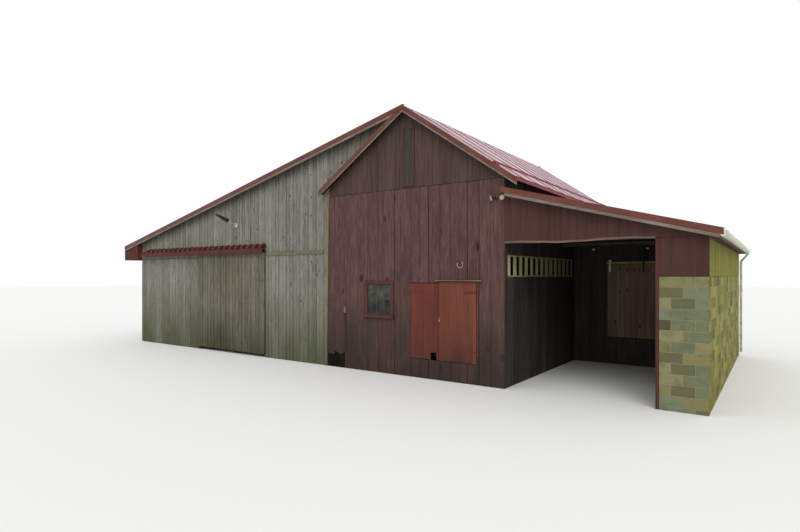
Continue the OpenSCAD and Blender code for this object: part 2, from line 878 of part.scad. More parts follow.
// A strap that carries its own half of the barrel; side is 1 on the left leaf and -1 on the right
module leaf_strap(axis_x, side, z) {
    translate([axis_x, barrel_y, z + barrel_h + seat]) cylinder(h = barrel_h - seat, r = barrel_r, $fn = 24);
    x1 = axis_x + side * strap_l;
    slab(min(axis_x, x1), max(axis_x, x1), front_y - strap_t, front_y - seat,
        z + barrel_h + seat, z + 2 * barrel_h);
}
module left_hinges() {
    color("#3b2a26") for (z = hinge_z) leaf_strap(left_axis, 1, z);
}
module right_hinges() {
    color("#3b2a26") for (z = hinge_z) leaf_strap(right_axis, -1, z);
}
module jamb_hinges() {
    color("#3b2a26") for (z = hinge_z) {
        for (side = [-1, 1]) {
            axis_x = side < 0 ? left_axis : right_axis;
            x1 = axis_x + side * jamb_plate;
            translate([axis_x, barrel_y, z]) cylinder(h = barrel_h - seat, r = barrel_r, $fn = 24);
            slab(min(axis_x, x1), max(axis_x, x1), front_y - strap_t, front_y - seat,
                z, z + barrel_h - seat);
        }
    }
}
module latch() {
    color("#4a3a33")
        slab(door_split + gap, door_split + gap + latch_w, front_y - latch_t, front_y - seat,
            latch_z, latch_z + latch_h);
}

// A bent iron shoe nailed over the door, open at the top
module horseshoe() {
    color("#8a8a86") translate([shoe_x, front_y - seat, shoe_z]) rotate([90, shoe_turn, 0])
        rotate_extrude(angle = 270, $fn = 48) translate([shoe_r, 0]) square([shoe_w, shoe_t]);
}

// Sliding doors on their rails
module wing_door() {
    color("#86847c") slab(slide_l, slide_r, slide_y, slide_y + slide_t, slide_z, slide_top);
}
module inner_door() {
    color("#5b4630") slab(inner_x, inner_x + inner_w, inner_y, inner_y + inner_t, inner_z, inner_top);
}

// A strap on the door's face with a wheel that runs on the rail's top
module hanger(x, face_y, door_t, rail_top) {
    axle_z = rail_top + run_gap + wheel_r;
    slab(x - strap_w / 2, x + strap_w / 2, face_y - strap_t, face_y - seat,
        rail_top - strap_drop, axle_z + strap_w / 2);
    translate([x, face_y + door_t / 2 + wheel_w / 2, axle_z]) rotate([90, 0, 0])
        cylinder(h = wheel_w, r = wheel_r, $fn = 48);
    translate([x, face_y + door_t / 2 + wheel_w / 2, axle_z]) rotate([90, 0, 0])
        cylinder(h = door_t / 2 + wheel_w / 2, r = axle_r, $fn = 24);
}
module wing_door_hangers() {
    color("#3a3533") for (x = slide_hangers)
        hanger(slide_l + x, slide_y, slide_t, slide_top + rail_up + track_h);
}
module inner_door_hangers() {
    color("#6b6b40") for (x = inner_hangers)
        hanger(inner_x + x, inner_y, inner_t, inner_top + rail_up + track_h);
}

// A rail held off the wall by brackets behind it
module rail(x0, x1, door_y, door_t, z0, wall_y) {
    y0 = door_y + door_t / 2 - track_t / 2;
    bracket_count = ceil((x1 - x0) / bracket_pitch);
    slab(x0, x1, y0, y0 + track_t, z0, z0 + track_h);
    for (i = [0 : bracket_count])
        translate([x0 + i * (x1 - x0 - bracket_w) / bracket_count, 0, 0])
            slab(0, bracket_w, y0 + track_t + seat, wall_y - seat, z0, z0 + track_h);
}
module door_tracks() {
    color("#6d6f40") {
        rail(slide_l - slide_travel - hood_past / 2, slide_r + hood_past / 2,
            slide_y, slide_t, slide_top + rail_up, front_y);
        rail(inner_x - hood_past / 2, inner_x + inner_travel + inner_w + hood_past / 2,
            inner_y, inner_t, inner_top + rail_up, cross_y);
    }
}

// The hood over the wing door's rail: a sloped top and a front lip
module track_hood() {
    x0 = slide_l - slide_travel - hood_past;
    x1 = slide_r + hood_past;
    z1 = belt_z + hood_h;
    y0 = front_y - hood_out;
    color("#7c3530") {
        run_x(x0, x1, [
            [y0, z1 - hood_drop],
            [front_y - seat, z1],
            [front_y - seat, z1 - hood_t],
            [y0, z1 - hood_drop - hood_t]
        ]);
        slab(x0, x1, y0, y0 + hood_t, belt_z + lip_up, z1 - hood_drop - hood_t - seat);
    }
}

// Two flood lamps on a box at the gable's right corner
module flood_lights() {
    translate([flood_x, front_y - seat, flood_z]) {
        color("#3a3632") translate([-flood_box / 2, -flood_box / 2, -flood_box / 2])
            cube([flood_box, flood_box / 2, flood_box]);
        for (side = [-1, 1])
            translate([side * flood_box / 2, -flood_box / 4, 0]) rotate([110, 0, side * 45]) {
                color("#3a3632") cylinder(h = flood_l / 2, r = flood_r / 2, $fn = 32);
                color("#e3dcb0") translate([0, 0, flood_l / 2])
                    cylinder(h = flood_l, r1 = flood_r / 2, r2 = flood_r, $fn = 32);
            }
    }
}

// A yard lamp on an arm from the wing's upper boards
module yard_light() {
    arm_start = (yard_base_t + seat + yard_arm_r * sin(yard_tilt)) / cos(yard_tilt);
    translate([yard_x, front_y - seat, yard_z]) rotate([90, 0, 0]) {
        color("#bdb8a8") cylinder(h = yard_base_t, r = yard_base_r, $fn = 32);
        rotate([-yard_tilt, 0, 0]) {
            color("#bdb8a8") translate([0, 0, arm_start])
                cylinder(h = yard_arm - arm_start, r = yard_arm_r, $fn = 24);
            color("#23211f") translate([0, 0, yard_arm + seat])
                cylinder(h = yard_head, r1 = yard_head_r, r2 = yard_tip_r, $fn = 32);
        }
    }
}

// Bulbs under shallow caps that hang from a tie in the shed
module shed_lamps() {
    for (x = lamp_x)
        translate([x, tie_y[1] + rafter_w / 2, tie_z - seat]) mirror([0, 0, 1]) {
            color("#2b2926") cylinder(h = lamp_neck_h, r = lamp_neck_r, $fn = 32);
            color("#2b2926") translate([0, 0, lamp_neck_h])
                cylinder(h = lamp_cap_h, r1 = lamp_neck_r, r2 = lamp_cap_r, $fn = 48);
            color("#d9d4c0") translate([0, 0, lamp_neck_h + lamp_cap_h + lamp_r / 2])
                sphere(r = lamp_r, $fn = 32);
        }
}

red_front_wall();
gable_wall();
red_rear_wall();
side_wall();
slat_band();
wing_front_wall();
wing_side_wall();
wing_rear_wall();
shed_front_wall();
block_walls();
shed_side_boards();
shed_rear_wall();
cross_wall();
sills();
posts();
beams();
rafters();
main_roof();
old_roof();
wing_roof();
shed_roof();
roof_trims();
roof_edge_boards();
eave_boxes();
gutter();
corner_strip();
belt_board();
window_frame();
window_glass();
gable_vent();
drip_board();
left_leaf();
right_leaf();
left_hinges();
right_hinges();
jamb_hinges();
latch();
horseshoe();
wing_door();
wing_door_hangers();
inner_door();
inner_door_hangers();
door_tracks();
track_hood();
flood_lights();
yard_light();
shed_lamps();
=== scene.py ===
import bpy
import bmesh
import math
import random
from functools import partial
from mathutils import Matrix, Vector


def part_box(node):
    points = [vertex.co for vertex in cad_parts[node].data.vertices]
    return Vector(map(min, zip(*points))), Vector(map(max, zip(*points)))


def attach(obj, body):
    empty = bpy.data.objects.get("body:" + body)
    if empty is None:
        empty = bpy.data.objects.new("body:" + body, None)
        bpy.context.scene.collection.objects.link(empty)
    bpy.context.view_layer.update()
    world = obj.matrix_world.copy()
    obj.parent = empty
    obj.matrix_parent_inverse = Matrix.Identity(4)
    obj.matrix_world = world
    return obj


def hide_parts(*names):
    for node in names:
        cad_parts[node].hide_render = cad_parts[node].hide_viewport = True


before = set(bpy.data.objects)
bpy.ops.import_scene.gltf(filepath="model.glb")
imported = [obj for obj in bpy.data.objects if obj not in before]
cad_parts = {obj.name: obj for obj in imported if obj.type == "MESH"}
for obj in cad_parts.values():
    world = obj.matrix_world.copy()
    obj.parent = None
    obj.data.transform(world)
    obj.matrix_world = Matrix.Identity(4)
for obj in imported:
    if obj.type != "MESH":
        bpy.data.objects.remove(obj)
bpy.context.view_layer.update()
print("frame loaded", len(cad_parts), "nodes")


def low(node):
    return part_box(node)[0]


def high(node):
    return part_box(node)[1]


# Places that the pieces share, all in metres and read from the frame
roofThickness = 0.045
frontFace = low("red_front_wall").y
gableFace = low("gable_wall").y
rearFace = high("wing_rear_wall").y
cornerX = low("red_front_wall").x
redLeft, redRight = low("gable_wall").x, high("gable_wall").x
wingLeft = low("wing_side_wall").x
wingMeet = high("wing_front_wall").x
shedRight = high("block_walls").x
pierLeft = low("block_walls").x
ridgeTop = high("main_roof").z
shedStart = high("shed_roof").z
seamZ = low("gable_wall").z
beltZ = low("belt_board").z
blockTop = high("block_walls").z
headerZ = high("door_tracks").z - 0.05
roofFront, roofRear = low("main_roof").y, high("main_roof").y
wallFront, wallRear = low("side_wall").y, high("side_wall").y
mainPitch = (ridgeTop - low("main_roof").z - roofThickness) / high("main_roof").x
oldPitch = 0.66
wingPitch = (ridgeTop - low("wing_roof").z - roofThickness) / -low("wing_roof").x
shedPitch = (shedStart - low("shed_roof").z - roofThickness) / (high("shed_roof").x - redRight)


# Height of a slope over a place x, on either side of the ridge
def slope(peak, pitch, start=0.0, drop=0.0):
    return lambda x: peak - pitch * (abs(x) - start) - drop


mainTop = slope(ridgeTop, mainPitch)
oldTop = slope(ridgeTop, oldPitch)
wingTop = slope(ridgeTop, wingPitch)
shedTop = slope(shedStart, shedPitch, redRight)
wingSoffit = slope(ridgeTop, wingPitch, 0.0, roofThickness)
shedSoffit = slope(shedStart, shedPitch, redRight, roofThickness)


# The gable's top follows the old pitch left of the ridge and the steep one right of it
def gableSoffit(x):
    return (oldTop(x) if x < 0 else mainTop(x)) - roofThickness


# A colour for the shader from an sRGB hex value
def linear(hexColour):
    parts = [int(hexColour[i : i + 2], 16) / 255 for i in (1, 3, 5)]
    return [c / 12.92 if c <= 0.04045 else ((c + 0.055) / 1.055) ** 2.4 for c in parts] + [1.0]


# Adds a node, given as its kind and what it does. Values fill its open inputs in turn, names are settings or
# inputs, and a value that is a node or a socket is linked
def addNode(tree, kind, *inputs, **named):
    kind, *does = kind.split()
    family = [name for name in ("ShaderNode", "GeometryNode", "Node") if hasattr(bpy.types, name + kind)][0]
    node = tree.nodes.new(family + kind)
    if does:
        setattr(node, "operation" if hasattr(node, "operation") else "data_type", does[0])
    for key in [key for key in named if hasattr(node, key)]:
        setattr(node, key, named.pop(key))
    taken = list(zip([socket for socket in node.inputs if socket.enabled], inputs))
    for socket, value in taken + [(node.inputs[key], value) for key, value in named.items()]:
        if isinstance(value, bpy.types.Node):
            value = [end for end in value.outputs if end.enabled][0]
        if isinstance(value, bpy.types.NodeSocket):
            tree.links.new(value, socket)
        elif value is not None:
            socket.default_value = value
    return node


# Colours laid over each other: a layer is its share and its colour, or with no colour a factor of brightness
def layered(add, colour, layers):
    for share, tint in layers:
        if tint:
            colour = add("Mix RGBA", share, colour, linear(tint))
        else:
            colour = add("VectorMath SCALE", colour, share)
    return colour


# Where the patterns of wood start to show and where they are full
woodSpans = {"streak": (0.34, 0.66), "worn": (0.5, 0.8), "patch": (0.35, 0.65), "scuff": (0.52, 0.7),
             "rubbed": (0.45, 0.3), "knot": (0.06, 0.13), "foot": (0.1, 0.5), "stain": (1.0, 0.3),
             "eave": (0.1, 0.45), "joint": (0.38, 0.56)}
# Kind, whether each board has its own, how far it is drawn out along the grain, then detail and roughness
woodPatterns = {"streakMm": ("TexNoise", True, 22, 3.0, 0.6), "grainMm": ("TexNoise", True, 30, 4.0, 0.7),
                "blotchMm": ("TexNoise", False, 3, 2.0, 0.5), "scuffMm": ("TexNoise", True, 4, 4.0, 0.65),
                "knotMm": ("TexVoronoi", True, 1.7)}


# Wood of every kind: streaks and fine grain, worn and scuffed spots, knots, a damp foot, stains, painted
# shade under the eaves, dirty joints
def wood(add, place, look):
    tone, edge, below = [add("Attribute", attribute_name=key).outputs["Fac"]
                         for key in ("tone", "edge", "below")]
    slide = add("VectorMath SCALE", (7.3, 5.1, 13.7), tone)
    moved = add("VectorMath ADD", place, slide)
    patterns = {}
    for key, (kind, own, drawn, *detail) in woodPatterns.items():
        if key in look:
            scale = [1000 / look[key]] * 3
            scale["xyz".index(look["grain"])] /= drawn
            space = add("Mapping", moved if own else place, Scale=scale)
            patterns[key] = add(kind, space, 1.0, *detail)
    streaks, fine, blotch = [patterns[key] for key in ("streakMm", "grainMm", "blotchMm")]
    dark, light, bare = look["tints"]
    spans = woodSpans
    patch = add("MapRange", blotch, *spans["patch"], 1 - look["patchy"], 1 + look["patchy"])
    each = add("MapRange", tone, 0.0, 1.0, 1 - look["uneven"], 1 + look["uneven"])
    layers = [(add("MapRange", streaks, *spans["streak"]), light),
              (add("MapRange", fine, *spans["worn"], 0.0, look["worn"]), bare),
              (add("Math MULTIPLY", patch, each), None)]
    if "scuff" in look:
        rubbed = patterns["scuffMm"]
        scuffs = add("MapRange", rubbed, *spans["scuff"], 0.0, look["scuff"])
        shade = add("MapRange", rubbed, *spans["rubbed"], 1.0, 1 - look["scuff"] * 0.7)
        layers += [(scuffs, look["scuffColour"]), (shade, None)]
    if "knotMm" in look:
        knots = add("MapRange", patterns["knotMm"], *spans["knot"], 0.85, 0.0)
        layers.append((knots, look["knotColour"]))
    if "foot" in look:
        height = add("SeparateXYZ", place).outputs["Z"]
        damp = add("MapRange", height, look["footTop"], 0.0)
        damp = add("Math MULTIPLY", damp, blotch)
        damp = add("MapRange", damp, *spans["foot"], 0.0, look["foot"])
        layers.append((damp, look["footColour"]))
    for x, y, z, wide, tall in look.get("stains", ()):
        space = add("Mapping", place, (-x / wide, -y, -z / tall), Scale=(1 / wide, 1.0, 1 / tall))
        near = add("MapRange", add("VectorMath LENGTH", space), *spans["stain"])
        layers.append((add("Math MULTIPLY", near, streaks), look["stainColour"]))
    # painted shade under the eaves: boards darken towards a sloped top
    if "eave" in look:
        layers.append((add("MapRange", below, *spans["eave"], 1 - look["eave"]), None))
    broken = add("MapRange", streaks, *spans["joint"], 0.3)
    dirt = add("Math MULTIPLY", edge, broken)
    layers.append((add("MapRange", dirt, 0.0, 1.0, 1.0, look["joint"]), None))
    bump = add("Bump", Strength=0.7, Distance=look["bumpMm"] / 1000, Height=fine)
    return {"Base Color": layered(add, linear(dark), layers), "Roughness": look["rough"], "IOR": 1.5,
            "Specular IOR Level": look["gloss"], "Normal": bump}


# What most of the woods have. The tints are dark, light and bare; a stain is its x, y, z, width and height
plainWood = {"grain": "z", "worn": 0.4, "streakMm": 30, "grainMm": 10, "blotchMm": 400, "patchy": 0.12,
             "uneven": 0.06, "rough": 0.9, "gloss": 0.12, "bumpMm": 0.8, "joint": 0.3}
woods = {
    # old barn paint rubbed thin on rough pine: dark red brown in dull upright streaks
    "paintedRedPine": {"tints": ("#4b3533", "#5d4544", "#74605a"), "streakMm": 34, "grainMm": 12,
        "blotchMm": 700, "patchy": 0.1, "bumpMm": 1.5, "scuff": 0.3, "scuffMm": 85,
        "scuffColour": "#7a6355", "knotMm": 620, "knotColour": "#251b18", "foot": 0.85, "footTop": 2.6,
        "footColour": "#332b27", "joint": 0.2,
        "stains": ((-1.19, -0.1, 0.88, 0.2, 0.7), (-0.18, -0.1, 0.95, 0.2, 0.8)),
        "stainColour": "#34352a"},
    # the same paint on the gable, in darker tints, with painted shade near the roof's edge
    "gableRedPine": {"tints": ("#423331", "#53413f", "#62524e"), "worn": 0.35, "streakMm": 40,
        "grainMm": 12, "blotchMm": 800, "patchy": 0.1, "uneven": 0.08, "bumpMm": 1.5, "joint": 0.33,
        "eave": 0.14},
    # bare rough sawn pine gone grey, with open knots, green where it stays damp, and painted shade under the
    # eaves
    "greyPine": {"tints": ("#67665d", "#807e75", "#a6a49a"), "worn": 0.6, "blotchMm": 900, "patchy": 0.11,
        "uneven": 0.17, "rough": 0.95, "gloss": 0.1, "bumpMm": 2.0, "scuff": 0.4, "scuffMm": 70,
        "scuffColour": "#98958a", "knotMm": 250, "knotColour": "#3a352d", "foot": 0.85, "footTop": 2.7,
        "footColour": "#4a4e38", "joint": 0.24, "eave": 0.42},
    # the sliding door's boards, browner than the wall
    "brownGreyPine": {"tints": ("#57544a", "#6f6b5f", "#8d897b"), "worn": 0.55, "blotchMm": 800,
        "uneven": 0.15, "rough": 0.95, "gloss": 0.1, "bumpMm": 2.0, "scuff": 0.4, "scuffMm": 70,
        "scuffColour": "#827d70", "knotMm": 250, "knotColour": "#302b24", "foot": 0.8, "footTop": 1.8,
        "footColour": "#3a3b29", "joint": 0.24,
        "stains": ((-7.16, -0.15, 2.43, 0.1, 0.38), (-6.8, -0.15, 2.4, 0.08, 0.3)),
        "stainColour": "#7a4a26"},
    # plain sheets with one dull coat of red
    "redSheet": {"tints": ("#422d29", "#4e3631", "#5b4840"), "worn": 0.25, "streakMm": 90, "grainMm": 9,
        "blotchMm": 700, "patchy": 0.09, "uneven": 0.03, "rough": 0.85, "bumpMm": 0.6, "joint": 0.5},
    # pine boards that never see the sun, brown, made near black as painted shade of the dim inside
    "darkPine": {"tints": ("#2d2a28", "#423e39", "#4f4a45"), "streakMm": 40, "grainMm": 12,
        "blotchMm": 700, "patchy": 0.15, "uneven": 0.2, "rough": 0.95, "gloss": 0.1, "bumpMm": 1.5},
    # rotten ends of boards, black with damp
    "rottenPine": {"tints": ("#14110e", "#1f1a16", "#29231d"), "blotchMm": 300, "patchy": 0.2,
        "uneven": 0.2, "rough": 0.95, "gloss": 0.05, "bumpMm": 1.5},
    # boards with yellow green algae all over
    "mossyPine": {"tints": ("#666529", "#87843a", "#a09c58"), "streakMm": 40, "grainMm": 12,
        "blotchMm": 600, "uneven": 0.08, "bumpMm": 1.5, "joint": 0.5},
    # pale dry slats, bright at the front of the row and darker towards the back as painted shade
    "slatPine": {"tints": ("#878059", "#aea57b", "#c4bb95"), "worn": 0.5, "streakMm": 35, "blotchMm": 500,
        "patchy": 0.1, "uneven": 0.5, "rough": 0.85, "bumpMm": 1.0},
    # brighter, newer red with a dark wet foot
    "doorRedBoards": {"tints": ("#582c24", "#68352b", "#77483c"), "worn": 0.25, "streakMm": 50,
        "rough": 0.7, "gloss": 0.2, "foot": 0.6, "footTop": 1.9, "footColour": "#3f2520", "joint": 0.75},
    # the grooved sheet beside it, a more orange red
    "doorRedSheet": {"tints": ("#643628", "#703f30", "#7c4d3d"), "worn": 0.2, "streakMm": 60,
        "blotchMm": 450, "patchy": 0.1, "uneven": 0.02, "rough": 0.7, "gloss": 0.2, "foot": 0.9,
        "footTop": 1.9, "footColour": "#3f2520", "joint": 0.86},
    # the sheet's batten, the brightest of the door's reds
    "doorRedBatten": {"tints": ("#6b3929", "#774434", "#855645"), "worn": 0.3, "streakMm": 50,
        "patchy": 0.1, "uneven": 0.02, "rough": 0.7, "gloss": 0.2, "foot": 0.5, "footTop": 1.5,
        "footColour": "#3f2520"},
    # sawn frame timber, brown in the dark of the barn
    "sawnUpright": {"tints": ("#3c342a", "#574c3e", "#6b5f4f"), "streakMm": 35, "uneven": 0.1,
        "bumpMm": 1.0},
    # the same timber lying down, its grain across
    "sawnAcross": {"tints": ("#3c342a", "#574c3e", "#6b5f4f"), "grain": "x", "streakMm": 35, "uneven": 0.1,
        "bumpMm": 1.0},
    # red paint gone thin on the post beside the opening
    "paintedPost": {"tints": ("#452a27", "#54342f", "#66493f"), "worn": 0.3, "streakMm": 35,
        "uneven": 0.04, "rough": 0.8, "gloss": 0.15},
    # primed rake boards gone dull, with a green cast
    "paleRakeBoards": {"tints": ("#68615a", "#80786e", "#8f8879"), "grain": "x", "streakMm": 35,
        "blotchMm": 350, "patchy": 0.16, "rough": 0.85},
    # the cut lower edge of the shed's panel, where the paint has gone pink
    "wornStrip": {"tints": ("#5d4743", "#77605a", "#8e7a70"), "grain": "x", "worn": 0.5, "blotchMm": 300,
        "uneven": 0.04},
    # sheltered red that keeps its colour
    "eaveRedBoards": {"tints": ("#4c2a26", "#5d342e", "#6b4c41"), "worn": 0.3, "streakMm": 40,
        "blotchMm": 500, "uneven": 0.08, "rough": 0.85},
    # yellow grey pine with green low down
    "bareUpright": {"tints": ("#5f5a4e", "#77715f", "#908a77"), "worn": 0.5, "blotchMm": 500,
        "patchy": 0.14, "uneven": 0.04, "bumpMm": 1.0, "scuff": 0.4, "scuffMm": 60,
        "scuffColour": "#8d8877", "foot": 0.6, "footTop": 1.4, "footColour": "#45462f"},
    # the same pine lying down, its middle rubbed pale
    "bareAcross": {"tints": ("#5b594c", "#6f6c5c", "#868370"), "grain": "x", "worn": 0.5, "patchy": 0.15,
        "bumpMm": 1.0, "scuff": 0.4, "scuffMm": 40, "scuffColour": "#87856b"},
    # pale upper face gone green in the drip
    "mossyDripBoard": {"tints": ("#5b5d44", "#77755c", "#928d76"), "grain": "x", "worn": 0.5,
        "streakMm": 25, "grainMm": 8, "blotchMm": 200, "patchy": 0.2, "bumpMm": 1.0},
    # rotary cut sheets gone brown, with round knots
    "plywoodBrown": {"tints": ("#635446", "#7c6a58", "#917e6a"), "streakMm": 90, "grainMm": 12,
        "blotchMm": 600, "uneven": 0.15, "rough": 0.8, "gloss": 0.15, "bumpMm": 0.5, "knotMm": 300,
        "knotColour": "#1d1713", "stains": ((3.93, 4.85, 2.72, 0.06, 0.055),
        (4.13, 4.85, 2.69, 0.055, 0.05), (4.32, 4.85, 2.69, 0.055, 0.05), (4.47, 4.85, 2.67, 0.05, 0.045),
        (4.69, 4.85, 2.68, 0.055, 0.05), (3.93, 4.85, 2.07, 0.055, 0.05), (4.13, 4.85, 2.11, 0.06, 0.055)),
        "stainColour": "#060403"},
    # dark red rubbed to bare wood at the window's casing
    "windowPaint": {"tints": ("#452924", "#56342d", "#6b5a4d"), "streakMm": 25, "grainMm": 8,
        "blotchMm": 300, "uneven": 0.08, "rough": 0.75, "gloss": 0.15},
    # thin greyed red on the sash and its bars
    "sashPaint": {"tints": ("#4b3a32", "#604c42", "#70625a"), "worn": 0.5, "streakMm": 20, "grainMm": 8,
        "blotchMm": 200, "uneven": 0.08, "rough": 0.8, "gloss": 0.15, "bumpMm": 0.6},
    # dark brown in the shade of the peak
    "ventBoards": {"tints": ("#3a3430", "#48403b", "#554d46"), "grainMm": 8, "blotchMm": 300},
}


# Where the chalk starts and is full, how fast rust sets in, how far the gloss wanders, and how far down a
# face turns before it takes painted shade
steelSpans = {"chalk": (0.35, 0.65), "rust": 0.08, "rustMost": 0.8, "rough": (-0.08, 0.12), "down": -0.3}


# Painted steel: a smooth coat that chalks in broad patches and rusts a little in specks; some looks paint
# shade on the faces that turn down
def steel(add, place, look):
    dark, light, rust = look["tints"]
    spans = steelSpans
    rustSpan = look["rustFrom"], look["rustFrom"] + spans["rust"], 0.0, spans["rustMost"]
    roughSpan = [look["rough"] + change for change in spans["rough"]]
    chalk = add("TexNoise", place, 1000 / look["chalkMm"], 4.0, 0.6)
    spots = add("TexNoise", place, 1000 / look["spotMm"], 5.0, 0.7)
    layers = [(add("MapRange", chalk, *spans["chalk"]), light), (add("MapRange", spots, *rustSpan), rust)]
    # painted shade: faces that turn down take a dark colour
    if "under" in look:
        normal = add("NewGeometry").outputs["Normal"]
        facing = add("SeparateXYZ", normal).outputs["Z"]
        layers.append((add("Math LESS_THAN", facing, spans["down"]), look["under"]))
    return {"Base Color": layered(add, linear(dark), layers), "Metallic": look["metallic"],
            "Roughness": add("MapRange", chalk, 0.0, 1.0, *roughSpan),
            "Specular IOR Level": look["gloss"],
            "Normal": add("Bump", Strength=0.4, Distance=look["bumpMm"] / 1000, Height=spots)}


# What most of the metals have. The tints are dark, light and rust
plainSteel = {"rustFrom": 0.6, "chalkMm": 60, "spotMm": 60, "rough": 0.5, "metallic": 0.0, "bumpMm": 0.2,
              "gloss": 0.5}
steels = {
    # rolled roof sheet, factory red gone chalky pink, its pale partly a painted sheen of the sky; faces
    # turned down dark brown as painted shade
    "chalkedRoofSheet": {"tints": ("#8d7074", "#a4868b", "#7b564e"), "rustFrom": 0.74, "chalkMm": 900,
        "spotMm": 120, "rough": 0.14, "bumpMm": 0.12, "gloss": 0.65, "under": "#2b241f"},
    # the ribs of the same sheet, nearly white: chalk, and a painted sheen where they catch the sky
    "chalkedRibSheet": {"tints": ("#b29aa2", "#cdb9c1", "#8d665d"), "rustFrom": 0.74, "chalkMm": 900,
        "spotMm": 120, "rough": 0.3, "bumpMm": 0.12},
    # the side laps' higher ribs in a darker red, as painted shade along their lines
    "ribRedSheet": {"tints": ("#774e53", "#8b6267", "#5f3428"), "rustFrom": 0.7, "chalkMm": 700,
        "spotMm": 100, "rough": 0.4, "bumpMm": 0.3},
    # folded edge trim, still deep red
    "redTrimSteel": {"tints": ("#582921", "#69362c", "#4a261c"), "rustFrom": 0.68, "chalkMm": 500,
        "gloss": 0.35},
    # a newer strip along the steep slope's eave
    "brightDripSteel": {"tints": ("#70191c", "#882327", "#5a2c20"), "rustFrom": 0.7, "chalkMm": 500,
        "gloss": 0.35},
    # the trims' folded lower half, out of the light
    "shadedTrimSteel": {"tints": ("#43201b", "#522a23", "#3c2018"), "rustFrom": 0.68, "chalkMm": 500,
        "rough": 0.6, "gloss": 0.2},
    # dull dark red of the hood's ribs and lip
    "hoodRedSteel": {"tints": ("#44201e", "#592a28", "#43241b"), "rustFrom": 0.66, "chalkMm": 400,
        "spotMm": 50, "rough": 0.65, "gloss": 0.2},
    # the hood's top between its ribs, dark as painted shade
    "hoodPanSteel": {"tints": ("#241413", "#33201d", "#2b1b14"), "rustFrom": 0.62, "chalkMm": 300,
        "spotMm": 50, "rough": 0.85, "gloss": 0.1},
    # white gutter coil with algae
    "algaeWhiteCoil": {"tints": ("#a3ab83", "#ced3bd", "#7d8a4e"), "rustFrom": 0.52, "chalkMm": 300,
        "spotMm": 90, "rough": 0.45},
    # wrought and cast iron, brown with rust
    "rustedIron": {"tints": ("#2b211c", "#41302a", "#5a3b2a"), "rustFrom": 0.5, "spotMm": 8, "rough": 0.75,
        "metallic": 0.6, "bumpMm": 0.4},
    # iron worn pale, with brown rust in the pits
    "wornShoeIron": {"tints": ("#766a60", "#a39688", "#54443a"), "rustFrom": 0.55, "chalkMm": 50,
        "spotMm": 8, "rough": 0.75, "metallic": 0.2, "bumpMm": 0.4, "gloss": 0.3},
    # zinc rail with a yellow green film
    "filmedZincRail": {"tints": ("#6f7340", "#9da35d", "#5b5230"), "rustFrom": 0.62, "chalkMm": 200,
        "spotMm": 30, "rough": 0.55, "metallic": 0.3},
    # hinges and hasp painted over with the door
    "paintedHinge": {"tints": ("#5a2d24", "#68372b", "#3f261d"), "spotMm": 10, "rough": 0.8, "bumpMm": 0.3,
        "gloss": 0.15},
    # a hasp with its paint rubbed to pink grey
    "paleHasp": {"tints": ("#5c453f", "#735a52", "#5d4238"), "rustFrom": 0.58, "chalkMm": 40, "spotMm": 8,
        "metallic": 0.2},
    # brass gone dull yellow
    "brassPadlock": {"tints": ("#6b5f45", "#a39a80", "#4b4232"), "chalkMm": 20, "spotMm": 6,
        "metallic": 0.5, "bumpMm": 0.1},
    # hanger straps dulled to the brown of the boards behind them
    "brownGreyIron": {"tints": ("#4b473d", "#5f5b4f", "#4a3a2e"), "rustFrom": 0.58, "spotMm": 10,
        "rough": 0.8, "metallic": 0.2, "bumpMm": 0.3},
    # brown black iron of rollers and brackets
    "darkIron": {"tints": ("#2b231c", "#3a3027", "#3a2a20"), "rustFrom": 0.55, "spotMm": 10, "rough": 0.8,
        "metallic": 0.3, "bumpMm": 0.3},
    # the gutter's ends, whiter than its trough
    "cleanWhiteCoil": {"tints": ("#b4b8a2", "#d3d6c6", "#8c9468"), "chalkMm": 80, "spotMm": 40,
        "rough": 0.45, "bumpMm": 0.1},
    # black brown enamel of the lamps
    "lampHousing": {"tints": ("#232120", "#34312f", "#4c3a2e"), "rustFrom": 0.64, "chalkMm": 80,
        "spotMm": 12, "bumpMm": 0.1},
    # pale painted tube of the yard lamp's arm
    "palePaintedTube": {"tints": ("#a19d90", "#c4c0b2", "#7d6a55"), "rustFrom": 0.64, "chalkMm": 80,
        "spotMm": 12, "rough": 0.45, "metallic": 0.2, "bumpMm": 0.1},
}


# Hollow concrete blocks, each with its own tint, pitted and green in the damp
def concrete(add, place, look):
    ramp = add("ValToRGB", add("Attribute", attribute_name="tone").outputs["Fac"])
    ramp.color_ramp.interpolation = "CONSTANT"
    stops = ramp.color_ramp.elements
    for number, tint in enumerate(look["tints"]):
        stop = stops[number] if number < 2 else stops.new(0.99)
        stop.position = number / len(look["tints"])
        stop.color = linear(tint)
    pits = add("TexNoise", place, 1000 / look["pitMm"], 6.0, 0.7)
    stains = add("TexNoise", place, 1000 / look["stainMm"], 4.0)
    layers = [(add("MapRange", pits, *look["pitSpan"]), None),
              (add("MapRange", stains, *look["stainSpan"]), look["stain"])]
    return {"Base Color": layered(add, ramp, layers), "Roughness": look["rough"], "Specular IOR Level": 0.2,
            "Normal": add("Bump", Strength=0.8, Distance=0.002, Height=pits)}


# The last two of a span are the brightness, or the share, that it runs between
plainBlock = {"pitMm": 24, "pitSpan": (0.3, 0.7, 0.82, 1.14), "stainSpan": (0.5, 0.75, 0.0, 0.7)}
blocks = {
    # grey yellow blocks with dark pits
    "pittedBlock": {"tints": ["#7d7850", "#646246", "#737962", "#524e39", "#6d7257", "#857f5b"],
        "stainMm": 260, "stain": "#565c39", "rough": 0.93},
    # the weather side, green and yellow with algae
    "mossyBlock": {"tints": ["#7c7838", "#6d6b35", "#868346", "#5c5a31", "#77753b", "#8f8b4e"],
        "stainMm": 300, "stain": "#5a6130", "rough": 0.95},
}


# Sandy mortar, paler than the blocks
def mortar(add, place, look):
    sand = add("TexNoise", place, 1000 / look["sandMm"], 5.0)
    return {"Base Color": layered(add, linear(look["tints"][0]), [(sand, look["tints"][1])]),
            "Roughness": 0.95, "Specular IOR Level": 0.2,
            "Normal": add("Bump", Strength=0.7, Distance=0.002, Height=sand)}
